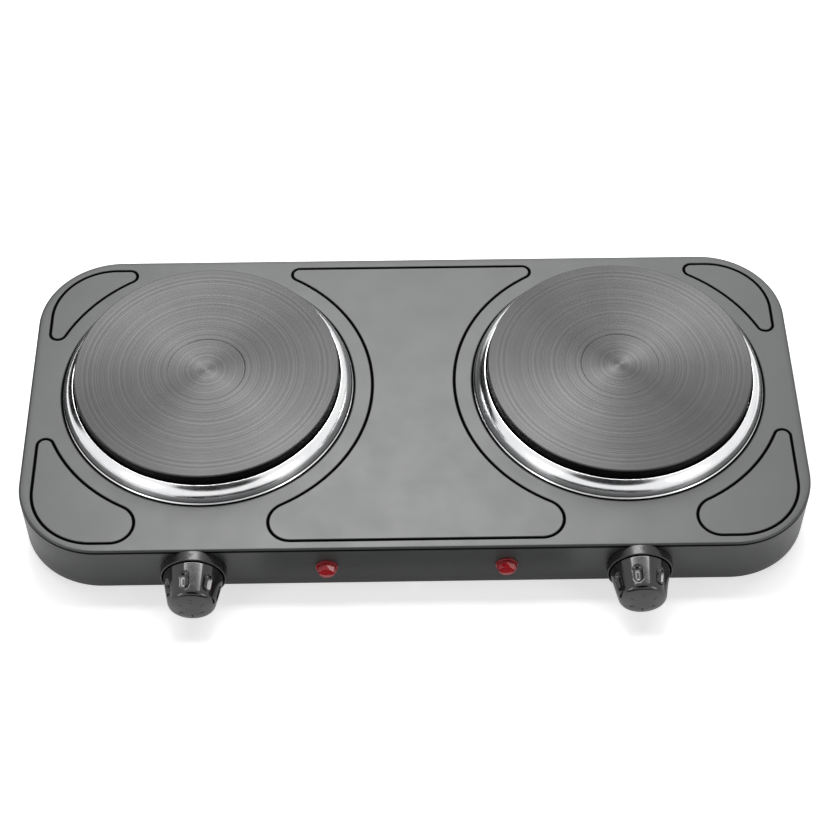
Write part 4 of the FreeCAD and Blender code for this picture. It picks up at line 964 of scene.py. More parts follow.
    def perimeter(self) -> tuple[np.ndarray, np.ndarray, dict[str, slice]]:
        """Outside line of the housing in plan, from the front's left end round counter-clockwise.

        Returns:
            Points, outward directions, and the slice of each named stretch, ends included.
        """
        hx, hy = self.width / 2 - self.corner_r, self.depth / 2 - self.corner_r
        corner = self.corner_steps
        side_count = self.short_steps + 2 * corner
        counts = {"front": self.long_steps, "right": side_count, "back": self.long_steps, "left": side_count}
        points, normals, named, at = [], [], {}, 0
        for k, (name, count) in enumerate(counts.items()):
            angle = math.radians(90 * k - 90)
            ray = np.array([math.cos(angle), math.sin(angle)])
            along = np.array([-ray[1], ray[0]])
            half = hx if k % 2 == 0 else hy
            reach = (self.depth if k % 2 == 0 else self.width) / 2
            if k % 2 == 0:
                share = np.linspace(-half, half, count + 1)[:-1, None]
                points.append(ray * reach + along * share)
                normals.append(np.repeat(ray[None], count, axis=0))
                named[name] = slice(at, at + count + 1)
                at += count
                continue
            for stage in range(3):
                if stage == 1:
                    share = np.linspace(-half, half, self.short_steps + 1)[:-1, None]
                    points.append(ray * reach + along * share)
                    normals.append(np.repeat(ray[None], self.short_steps, axis=0))
                    continue
                hub = np.array([ray[0] * hx, (stage - 1) * along[1] * hy])
                quarter = np.linspace(0, np.pi / 2, corner + 1)[:-1]
                bend = angle - (np.pi / 2 if stage == 0 else 0) + quarter
                spoke = np.stack([np.cos(bend), np.sin(bend)], -1)
                points.append(hub + self.corner_r * spoke)
                normals.append(spoke)
            named[name] = slice(at, at + count + 1)
            at += count
        plan = np.concatenate(points) + np.array([0.0, BODY_Y])
        return plan, np.concatenate(normals), named

    def swept(self, plan: np.ndarray, normal: np.ndarray, section: np.ndarray) -> np.ndarray:
        """Section carried along a stretch of the perimeter.

        Point(s, t) = plan(s) - outward(s) inwards(t), at height(t).

        Args:
            plan: (n, 2) points of the stretch.
            normal: outward direction at each.
            section: (m, 2) array of distance inwards and height.

        Returns:
            Grid of points (m, n, 3).
        """
        flat = plan[None] - normal[None] * section[:, :1, None]
        height = np.broadcast_to(section[:, 1:], flat.shape[:2])
        return np.concatenate([flat, height[..., None]], -1)

    def wall_panel(self, sheet: SheetMetal, plan: np.ndarray, heights: np.ndarray, inward: float,
                   holes: list[np.ndarray]) -> None:
        """Adds a straight wall with round holes, filled between the bends above and below it.

        Args:
            sheet: the pressing.
            plan: points of the wall in plan, along +X.
            heights: heights of the points at the wall's two ends.
            inward: 1 where the inside lies towards +Y, -1 where it lies towards -Y.
            holes: loops of (x, height).
        """
        x = plan[:, 0]
        low, high = heights[0], heights[-1]
        bottom = np.stack([x, np.full_like(x, low)], -1)
        top = np.stack([x, np.full_like(x, high)], -1)[::-1]
        ends = [np.stack([np.full(len(heights) - 2, edge), rows], -1)
                for edge, rows in ((x[-1], heights[1:-1]), (x[0], heights[1:-1][::-1]))]
        border = np.concatenate([bottom, ends[0], top, ends[1]])
        flat, triangles = filled([border, *holes], *self.wall_fill)
        points = np.stack([flat[:, 0], np.full(len(flat), plan[0, 1]), flat[:, 1]], -1)
        faces = as_faces(triangles)
        patch = Patch(points, faces if inward > 0 else faces[:, [2, 1, 0, 0]])
        sheet.add(patch, points + np.array([0.0, inward * self.sheet, 0.0]))

    def front_holes(self) -> list[np.ndarray]:
        """Holes of the front wall: spindles, regulator screws and lamps.

        Returns:
            One loop of (x, height) per hole.
        """
        holes = []
        for side in Side:
            x = side.value * KNOB_X
            holes += [circle(x, KNOB_Z, self.spindle_hole_r, 40),
                      circle(x - self.screw_reach, KNOB_Z, self.screw_hole_r, 24),
                      circle(x + self.screw_reach, KNOB_Z, self.screw_hole_r, 24),
                      circle(side.value * LAMP_X, LAMP_Z, self.lamp_hole_r, 40)]
        return holes

    def shell(self) -> Patch:
        """The whole pressing: grooves, skirt, rim, side walls, drilled front and back walls, flat top.

        Returns:
            Both skins, closed at every edge.
        """
        sheet = SheetMetal()
        drop = np.array([0.0, 0.0, self.sheet])
        strips = [self.groove(self.centre_panel())]
        for sy in (1, -1):
            corner = self.corner_panel(sy)
            strips += [self.groove(corner), self.groove(corner.mirrored())]
        for strip, _, _ in strips:
            sheet.add(strip, strip.points - drop)
        plan, normal, named = self.perimeter()
        loop_plan, loop_normal = np.vstack([plan, plan[:1]]), np.vstack([normal, normal[:1]])
        bend_z, rim_z = self.base_z + self.bend_r, TOP_Z - self.rim_r
        t = self.sheet
        skirt = rounded([(self.flange, self.base_z), (0, self.base_z), (0, bend_z + 1)],
                        [0, self.bend_r, 0], closed=False, step_deg=18)[:-1]
        skirt_in = rounded([(self.flange, self.base_z + t), (t, self.base_z + t), (t, bend_z + 1)],
                           [0, self.bend_r - t, 0], closed=False, step_deg=18)[:-1]
        rim = rounded([(0, rim_z - 1), (0, TOP_Z), (self.margin, TOP_Z)],
                      [0, self.rim_r, 0], closed=False, step_deg=15)[1:]
        rim_in = rounded([(t, rim_z - 1), (t, TOP_Z - t), (self.margin, TOP_Z - t)],
                         [0, self.rim_r - t, 0], closed=False, step_deg=15)[1:]
        for outer, inner in ((skirt, skirt_in), (rim, rim_in)):
            patch = grid_patch(self.swept(loop_plan, loop_normal, outer))
            sheet.add(patch, self.swept(loop_plan, loop_normal, inner))
        heights = np.linspace(bend_z, rim_z, self.wall_rows)
        band = np.stack([np.zeros_like(heights), heights], -1)
        band_in = np.stack([np.full_like(heights, t), heights], -1)
        for name in ("right", "left"):
            part = named[name]
            patch = grid_patch(self.swept(loop_plan[part], loop_normal[part], band))
            sheet.add(patch, self.swept(loop_plan[part], loop_normal[part], band_in))
        self.wall_panel(sheet, loop_plan[named["front"]], heights, 1.0, self.front_holes())
        self.wall_panel(sheet, loop_plan[named["back"]][::-1], heights, -1.0,
                        [circle(0, GLAND_Z, self.cord_hole_r, 48)])
        rings = [circle(side.value * RING_X, PLATE_Y, self.hole_r, 180) for side in Side]
        loops = [plan - normal * self.margin, *rings, *[s[1] for s in strips], *[s[2] for s in strips]]
        flat, triangles = filled(loops, *self.top_fill)
        points = np.column_stack([flat, np.full(len(flat), TOP_Z)])
        sheet.add(Patch(points, as_faces(triangles)), points - drop)
        return sheet.closed()

    def build(self) -> None:
        """Makes the housing."""
        place_piece("housing_shell", self.shell(), ENAMEL, Body.CASING, ("top_housing",))


# ------------------------------------------------------------------ cooking plates
@dataclass
class CookingPlate:
    """Cast-iron hotplate with its chromed trim ring, on the top of the housing.

    Every place is (radius, height above the housing's top). The nose and the lip are arcs, whose spans
    are elevations in degrees.
    """
    side: Side
    plate_r: float = 92.5
    rise: float = 19.5
    edge_r: float = 1.2
    skirt_r: float = 84.5
    skirt_low: float = 1.6
    ceiling: float = 11.5
    recess_r: float = 27.0
    recess_depth: float = 0.5
    boss_r: float = 9.0
    boss_low: float = 3.0
    bore_r: float = 3.05
    bore_top: float = 11.1
    rib_low: float = 6.5
    rib_half: float = 1.5
    ribs: tuple[float, ...] = (30.0, 44.0, 58.0, 72.0)
    mark_pitch: float = 1.85
    mark_points: int = 5
    mark_depth: float = 0.045
    mark_depths: tuple[float, float] = (1.15, 0.85)
    mark_start: float = 0.4
    mark_fade: float = 4.0
    recess_step: float = 0.5
    segments: int = 180
    ring_segments: int = 256
    foot: tuple[tuple[float, float], ...] = ((102.3, 0.0), (102.3, 0.35), (101.85, 0.72))
    foot_inside: tuple[tuple[float, float], ...] = ((101.0, 0.64), (101.7, 0.07), (101.7, 0.0))
    nose_centre: tuple[float, float] = (87.17, -0.62)
    nose_r: float = 14.47
    nose_span: tuple[float, float] = (6.5, 58.5)
    lip_centre: tuple[float, float] = (94.21, 10.98)
    lip_r: float = 0.92
    lip_start: float = 7.0
    seat: tuple[tuple[float, float], ...] = ((93.3, 10.8), (93.3, 1.6), (86.0, 1.6))
    seat_bend: float = 0.7
    under: tuple[tuple[float, float], ...] = ((86.0, 1.0), (93.9, 1.0), (93.9, 11.0))
    under_bend: float = 1.2
    sheet: float = 0.6

    def turned_face(self) -> np.ndarray:
        """Profile of the turned top from the edge to the axis.

        Height = top - depth (1 - cos(full turn r / pitch)) / 2, with every second mark a third deeper.
        The marks fade out towards the edge and the axis. The recess has a short sloping step.

        Returns:
            (n, 2) array of radius and height.
        """
        start = self.plate_r - self.edge_r - self.mark_start
        count = int(start / self.mark_pitch * self.mark_points)
        radius = np.linspace(start, 0, count)
        phase = radius / self.mark_pitch
        depth = self.mark_depth * np.where(np.floor(phase) % 2 == 0, *self.mark_depths)
        wave = depth * (1 - np.cos(2 * np.pi * phase)) / 2
        fade = np.clip(radius / self.mark_fade, 0, 1) * np.clip(start - radius, 0, 1)
        step = self.recess_depth * np.clip((self.recess_r - radius) / self.recess_step + 0.5, 0, 1)
        return np.stack([radius, self.rise - wave * fade - step], -1)

    def plate_profile(self) -> np.ndarray:
        """Closed section of the plate: skirt, side, turned face, stud bore, boss and coil ribs.

        Returns:
            (n, 2) array of radius and height, counter-clockwise.
        """
        rib_line = []
        for rib in self.ribs:
            near, far = rib - self.rib_half, rib + self.rib_half
            rib_line += [(near, self.ceiling), (near, self.rib_low), (far, self.rib_low), (far, self.ceiling)]
        under = [(0, self.bore_top), (self.bore_r, self.bore_top), (self.bore_r, self.boss_low),
                 (self.boss_r, self.boss_low), (self.boss_r, self.ceiling), *rib_line,
                 (self.skirt_r, self.ceiling), (self.skirt_r, self.skirt_low)]
        side = rounded([(self.plate_r, self.skirt_low), (self.plate_r, self.rise), (0, self.rise)],
                       [0, self.edge_r, 0], closed=False, step_deg=15)[:-1]
        return np.concatenate([side, self.turned_face(), np.array(under, float)])

    def ring_profile(self) -> np.ndarray:
        """Closed section of the trim ring: flared foot, bull-nosed skirt, raised lip, wall and seat.

        Returns:
            (n, 2) array of radius and height, counter-clockwise.
        """
        seat = rounded(self.seat, [0, self.seat_bend, 0], closed=False, step_deg=10)
        under = rounded(self.under, [0, self.under_bend, 0], closed=False, step_deg=15)
        low, high = self.nose_span
        nose = arc(self.nose_centre, self.nose_r, low, high, 40)
        lip = arc(self.lip_centre, self.lip_r, high + self.lip_start, 180.0, 14)
        inner_nose = arc(self.nose_centre, self.nose_r - self.sheet, high, low, 20)
        return np.concatenate([self.foot, nose, lip, seat, under, inner_nose, self.foot_inside])

    def build(self) -> None:
        """Makes the plate and its ring."""
        place = {"x": self.side.value * RING_X, "y": PLATE_Y, "z": TOP_Z}
        plate = lathe(self.plate_profile(), self.segments).moved(**place)
        place_piece(f"{self.side.word}_iron_plate", plate, IRON, Body.CASING, (f"{self.side.word}_hotplate",),
                    sharp_deg=50)
        ring = lathe(self.ring_profile(), self.ring_segments).moved(**place)
        place_piece(f"{self.side.word}_chrome_ring", ring, CHROME, Body.CASING,
                    (f"{self.side.word}_trim_ring",), sharp_deg=60)


# ------------------------------------------------------------------ dials
@dataclass
class Dial:
    """Fluted dial with raised numerals, and the moulded collar round its skirt."""
    side: Side
    back: float = 4.6
    skirt_r: float = 20.2
    skirt_top: float = 7.4
    tip_r: float = 16.4
    tip: float = 26.0
    shoulder: tuple[float, float] = (15.7, 29.4)
    shoulder_r: float = 4.4
    face_r: float = 12.8
    face: float = 30.2
    crown: float = 32.3
    scoops: int = 7
    scoop_turn: float = 12.7
    scoop_r: float = 4.6
    scoop_out: float = 2.7
    scoop_start: float = 17.2
    scoop_end: float = 22.3
    per_scoop: int = 32
    edge_blend: float = 0.35
    bore_r: float = 3.05
    bore_end: float = 22.5
    hub_r: float = 6.2
    hollow_end: float = 24.0
    hollow_r: tuple[float, float] = (14.6, 12.4)
    numerals: tuple[str, ...] = ("0", "1", "2", "3", "4", "5")
    numeral_r: float = 8.4
    numeral_h: float = 3.6
    em_per_numeral: float = 1.35
    numeral_up: float = 0.18
    numeral_root: float = 0.1
    collar_r: float = 22.2
    collar_bore: float = 20.9
    collar_h: float = 7.2
    collar_hole_r: float = 5.5
    collar_floor: float = 1.5
    pointer_plan: tuple[tuple[float, float], ...] = ((-1.7, 2.0), (1.7, 2.0), (0.0, 5.06))
    pointer_r: float = 0.25
    pointer_root: float = 0.4
    pointer_up: float = 0.05
    pointer_bevel: float = 0.12
    pointer_top: float = 0.86

    @property
    def body(self) -> Body:
        """Body that the dial turns with."""
        return Body.LEFT_DIAL if self.side is Side.LEFT else Body.RIGHT_DIAL

    def dome_radius(self) -> float:
        """Radius of the sphere that the face is part of, from its rim and its height."""
        height = self.crown - self.face
        return (self.face_r ** 2 + height ** 2) / (2 * height)

    def outside(self) -> np.ndarray:
        """Profile of the outside from the back edge to the crown, the taper in fine steps.

        Returns:
            (n, 2) array of radius and height.
        """
        walls = rounded([(self.skirt_r, self.back), (self.skirt_r, self.skirt_top), self.shoulder,
                         (self.face_r, self.face)],
                        [0, 3.0, self.shoulder_r, 0], closed=False, step_deg=4)
        taper = np.linspace(0, 1, 48)[1:-1, None]
        long_run = np.argmax(np.linalg.norm(np.diff(walls, axis=0), axis=1))
        fine = walls[long_run] + taper * (walls[long_run + 1] - walls[long_run])
        walls = np.concatenate([walls[:long_run + 1], fine, walls[long_run + 1:]])
        sphere = self.dome_radius()
        angle = np.linspace(math.asin(self.face_r / sphere), 0, 16)[1:]
        dome = np.stack([sphere * np.sin(angle), self.crown - sphere * (1 - np.cos(angle))], -1)
        return np.concatenate([walls, dome])

    def scooped(self, profile: np.ndarray) -> Patch:
        """The profile turned about the axis, less an oval scoop between each two ribs.

        The cutter is a bar of radius q with a ball at each end, along a line that keeps scoop_out
        outside the taper. At a height beyond an end by e its radius is sqrt(q^2 - e^2). At an angle a
        from the scoop's middle its near side is at c cos a - sqrt(q^2 - c^2 sin^2 a), where c is its
        distance from the axis, and the surface is at the smaller of that and the plain radius, with
        the edge between them blended. Each row's angles are spread so that one column follows the
        scoop's edge.

        Args:
            profile: (n, 2) array of radius and height.

        Returns:
            The outside of the dial.
        """
        radius, height = profile[:, :1], profile[:, 1:]
        slope = (self.tip_r - self.skirt_r) / (self.tip - self.skirt_top)
        along = np.clip(height, self.scoop_start, self.scoop_end)
        centre = self.skirt_r + slope * (along - self.skirt_top) + self.scoop_out
        cutter = np.sqrt(np.maximum(self.scoop_r ** 2 - (height - along) ** 2, 1e-4))
        cosine = (radius ** 2 + centre ** 2 - cutter ** 2) / (2 * radius * centre + 1e-6)
        widest = np.pi / self.scoops
        edge = np.clip(np.arccos(np.clip(cosine, -1, 1)), 0.1, widest * 0.8)
        share = np.linspace(-1, 1, self.per_scoop + 1)[:-1]
        bent = np.abs(share) * 2
        inner = np.clip(bent, 0, 1) ** 0.8 * edge
        outer = edge + np.clip(bent - 1, 0, 1) ** 1.4 * (widest - edge)
        away = np.sign(share) * np.where(bent <= 1, inner, outer)
        across = cutter ** 2 - (centre * np.sin(away)) ** 2
        near = np.where(across > 0, centre * np.cos(away) - np.sqrt(np.maximum(across, 0)), np.inf)
        open_side = np.isfinite(near) & (radius > 1)
        near = np.where(open_side, near, radius + 2 * self.edge_blend)
        mix = np.clip(0.5 + 0.5 * (near - radius) / self.edge_blend, 0, 1)
        cut = near * (1 - mix) + radius * mix - self.edge_blend * mix * (1 - mix) / 2
        middles = 2 * widest * np.arange(self.scoops) + np.pi / 2 + math.radians(self.scoop_turn)
        turn = (middles[None, :, None] + away[:, None, :]).reshape(len(profile), -1)
        cut = np.repeat(cut[:, None, :], self.scoops, 1).reshape(len(profile), -1)
        points = np.stack([cut * np.cos(turn), cut * np.sin(turn), np.broadcast_to(height, cut.shape)], -1)
        return grid_patch(np.concatenate([points, points[:, :1]], 1))

    def knob(self) -> Patch:
        """Dial: scooped outside, and a hollow back with a bored hub.

        Returns:
            Both, on the same angles round the axis.
        """
        outside = self.outside()
        count = self.scoops * self.per_scoop
        hollow_back, hollow_front = self.hollow_r
        inside = np.array([(self.bore_r, self.bore_end), (self.bore_r, self.back), (self.hub_r, self.back),
                           (self.hub_r, self.hollow_end), (hollow_front, self.hollow_end),
                           (hollow_back, self.back), (self.skirt_r, self.back)], float)
        scooped = self.scooped(outside)
        start_ring = scooped.points.reshape(len(outside), count + 1, 3)[0]
        turn = np.arctan2(start_ring[:, 1], start_ring[:, 0])
        hollow = np.stack([inside[:, :1] * np.cos(turn), inside[:, :1] * np.sin(turn),
                           np.broadcast_to(inside[:, 1:], (len(inside), count + 1))], -1)
        axis_end = np.zeros((1, count + 1, 3))
        axis_end[..., 2] = inside[0, 1]
        return joined([scooped, grid_patch(np.concatenate([axis_end, hollow]))])

    def numeral(self, text: str, turn: float) -> Patch:
        """Raised numeral on the dome, its foot towards the axis.

        Each point of the flat letter is laid on the sphere of the dome, and its thickness stands up.

        Args:
            text: the numeral.
            turn: its place round the axis, in radians.

        Returns:
            The numeral, in the dial's own frame.
        """
        curve = bpy.data.curves.new("numeral", "FONT")
        curve.body = text
        curve.size = self.numeral_h * self.em_per_numeral
        curve.align_x, curve.align_y = "CENTER", "CENTER"
        curve.extrude = 0.5
        curve.resolution_u = 6
        letter = bpy.data.objects.new("numeral", curve)
        mesh = bpy.data.meshes.new_from_object(letter)
        flat = np.zeros(len(mesh.vertices) * 3)
        mesh.vertices.foreach_get("co", flat)
        mesh.calc_loop_triangles()
        corners = np.zeros(len(mesh.loop_triangles) * 3, np.int32)
        mesh.loop_triangles.foreach_get("vertices", corners)
        bpy.data.objects.remove(letter)
        bpy.data.meshes.remove(mesh)
        bpy.data.curves.remove(curve)
        x, y, lift = flat.reshape(-1, 3).T
        y = y + self.numeral_r
        px, py = x * math.cos(turn) - y * math.sin(turn), x * math.sin(turn) + y * math.cos(turn)
        sphere = self.dome_radius()
        dome = self.crown - sphere + np.sqrt(sphere ** 2 - px ** 2 - py ** 2)
        points = np.stack([px, py, dome + np.where(lift > 0, self.numeral_up, -self.numeral_root)], -1)
        return Patch(points, as_faces(corners.reshape(-1, 3)))

    def collar(self) -> Patch:
        """Collar: flange on the wall and a ring round the dial's skirt, with soft edges.

        Returns:
            The collar, in the dial's own frame.
        """
        hole, bore, floor = self.collar_hole_r, self.collar_bore, self.collar_floor
        profile = rounded([(hole, 0), (self.collar_r, 0), (self.collar_r, self.collar_h),
                           (bore, self.collar_h), (bore, floor), (hole, floor)],
                          [0, 0, 0.7, 0.4, 0.3, 0.2], step_deg=15)
        return lathe(profile, 160)

    def pointer(self) -> Patch:
        """Small raised triangle on top of the collar, its tip towards the dial.

        Rows of the plan rise from its root to its bevelled top, and close in a point at each end.

        Returns:
            The pointer, in the dial's own frame.
        """
        low, high = self.collar_r - self.pointer_root, self.collar_r + self.pointer_up
        plan = rounded(self.pointer_plan, [self.pointer_r] * 3, step_deg=30)
        inner = plan * self.pointer_top + plan.mean(0) * (1 - self.pointer_top)
        rows = [(plan, low), (plan, high - self.pointer_bevel), (inner, high)]
        points = np.array([np.stack([line[:, 0], np.full(len(line), up), line[:, 1]], -1)
                           for line, up in rows])
        middle = np.broadcast_to(points[-1].mean(0), points[-1].shape)[None]
        floor = np.broadcast_to(points[0].mean(0), points[0].shape)[None]
        points = np.concatenate([floor, points, middle])
        return grid_patch(np.concatenate([points, points[:, :1]], 1), flip=True)

    def build(self) -> None:
        """Makes the dial, its numerals, the collar and the pointer."""
        place = (self.side.value * KNOB_X, KNOB_Z)
        word = self.side.word
        place_piece(f"{word}_fluted_dial", self.knob().on_front(*place), DIAL_PHENOLIC, self.body,
                    (f"{word}_knob",), sharp_deg=45)
        step = 2 * math.pi / len(self.numerals)
        marks = joined([self.numeral(text, step * k) for k, text in enumerate(self.numerals)])
        place_piece(f"{word}_dial_numerals", marks.on_front(*place), DIAL_PHENOLIC, self.body)
        collar = joined([Patch(p.points, p.faces) for p in (self.collar(), self.pointer())])
        place_piece(f"{word}_dial_collar", collar.on_front(*place), COLLAR_PHENOLIC, Body.CASING,
                    (f"{word}_knob_collar",))


# ------------------------------------------------------------------ lamps, cord bush and feet
@dataclass
class PilotLens:
    """Red pilot lens: flange on the wall, faceted dome and a hollow barrel."""
    side: Side
    flange_r: float = 7.5
    flange_t: float = 1.2
    waist: tuple[float, float] = (6.9, 3.4)
    face_r: float = 5.2
    brow: float = 5.7
    reach: float = 6.4
    dome_inset: float = 0.3
    foot_row: tuple[float, float] = (0.1, 1.9)
    facets: int = 8
    web_t: float = 0.4
    seat: float = 1.2
    barrel_r: float = 5.0
    bore_r: float = 3.6
    tail: float = -16.0

    def dome(self) -> Patch:
        """Faceted dome: an upper and a lower row of flat facets that meet in a flat face.

        The rows are polygons about the axis. The waist's corners are turned by half a facet.

        Returns:
            The dome, its foot sunk in the flange.
        """
        foot = self.flange_r - self.dome_inset
        rows = [(foot, self.flange_t - self.dome_inset, 0.0), (foot, self.flange_t, 0.0),
                (foot - self.foot_row[0], self.foot_row[1], 0.0), (*self.waist, 0.5),
                (self.face_r, self.brow, 0.0), (0.0, self.reach, 0.0)]
        step = 2 * math.pi / self.facets
        rings = []
        for radius, level, shift in rows:
            turn = step * (np.arange(self.facets + 1) + 0.5 + shift)
            spoke = np.stack([np.cos(turn), np.sin(turn)])
            rings.append(np.stack([*(radius * spoke), np.full_like(turn, level)], -1))
        return grid_patch(np.array(rings))

    def body(self) -> Patch:
        """Flange and barrel, hollow from behind up to a thin web.

        Returns:
            Both in one, with no UV.
        """
        web = self.flange_t - self.web_t
        profile = rounded([(self.bore_r, self.tail), (self.barrel_r, self.tail), (self.barrel_r, 0),
                           (self.flange_r, 0), (self.flange_r, self.flange_t),
                           (self.flange_r - self.seat, self.flange_t), (0, self.flange_t),
                           (0, web), (self.bore_r, web)],
                          [0, 0, 0, 0, 0.35, 0, 0, 0, 0], step_deg=30)
        plain = lathe(profile, 64)
        return Patch(plain.points, plain.faces)

    def build(self) -> None:
        """Makes the lens."""
        lens = joined([self.body(), self.dome()]).on_front(self.side.value * LAMP_X, LAMP_Z)
        place_piece(f"{self.side.word}_pilot_lens", lens, LENS_RED, Body.CASING,
                    (f"{self.side.word}_lamp_lens",), sharp_deg=14)


@dataclass
class CordBush:
    """Moulded cord bush in the rear wall, with a grip groove round its nose."""
    bore_r: float = 3.7
    barrel_r: float = 7.8
    inside: float = 12.0
    flange_r: float = 11.0
    flange_t: float = 2.5
    grip: tuple[tuple[float, float], ...] = ((7.6, 4.4), (7.1, 4.6), (7.1, 5.2), (7.4, 5.4))
    nose_foot_r: float = 8.0
    nose_r: float = 7.0
    reach: float = 9.3

    def build(self) -> None:
        """Makes the bush."""
        profile = rounded([(self.bore_r, -self.inside), (self.barrel_r, -self.inside), (self.barrel_r, 0),
                           (self.flange_r, 0), (self.flange_r, self.flange_t),
                           (self.nose_foot_r, self.flange_t), *self.grip, (self.nose_r, self.reach),
                           (self.bore_r, self.reach)],
                          [0, 0.3, 0, 0.2, 0.7, 0.5, 0.1, 0.1, 0.1, 0.1, 0.7, 0.8], step_deg=22)
        bush = lathe(profile, 96).on_back(0.0, GLAND_Z)
        place_piece("rear_cord_bush", bush, BUSH_NYLON, Body.CASING, ("cord_gland",))


@dataclass
class TableFeet:
    """Four tapered rubber feet with a screw well."""
    x: float = 215.0
    y: float = 95.0
    low_r: float = 11.0
    top_r: float = 9.5
    height: float = 7.0
    well_r: float = 5.0
    well: float = 4.2
    hole_r: float = 2.1

    def build(self) -> None:
        """Makes the feet as one piece."""
        profile = rounded([(self.hole_r, self.well), (self.well_r, self.well), (self.well_r, 0.0),
                           (self.low_r, 0.0), (self.top_r, self.height), (self.hole_r, self.height)],
                          [0, 0.3, 0.5, 1.2, 0.3, 0], step_deg=18)
        foot = lathe(profile, 72)
        feet = joined([foot.moved(sx * self.x, BODY_Y + sy * self.y) for sx in (-1, 1) for sy in (-1, 1)])
        place_piece("table_feet", feet, RUBBER, Body.CASING, ("rubber_feet",))


# ------------------------------------------------------------------ frame nodes that stay
def dress_frame_nodes() -> None:
    """Gives every frame node the finish of its material slot.

    Turned iron needs the profile map, which a frame node lacks. The only nodes in its slot are the two
    hotplates that the finished plates stand for, and they are plain zinc.
    """
    by_slot = {finish.slot: finish for finish in FINISHES} | {IRON.slot: ZINC}
    for entry in frame["record"]["subparts"]:
        node = frame["nodes"][entry["node"]]
        finish = by_slot[entry["material_slot"]]
        node.data.materials.clear()
        node.data.materials.append(finish.material())
        log.info("%s: %s", entry["node"], finish.name)


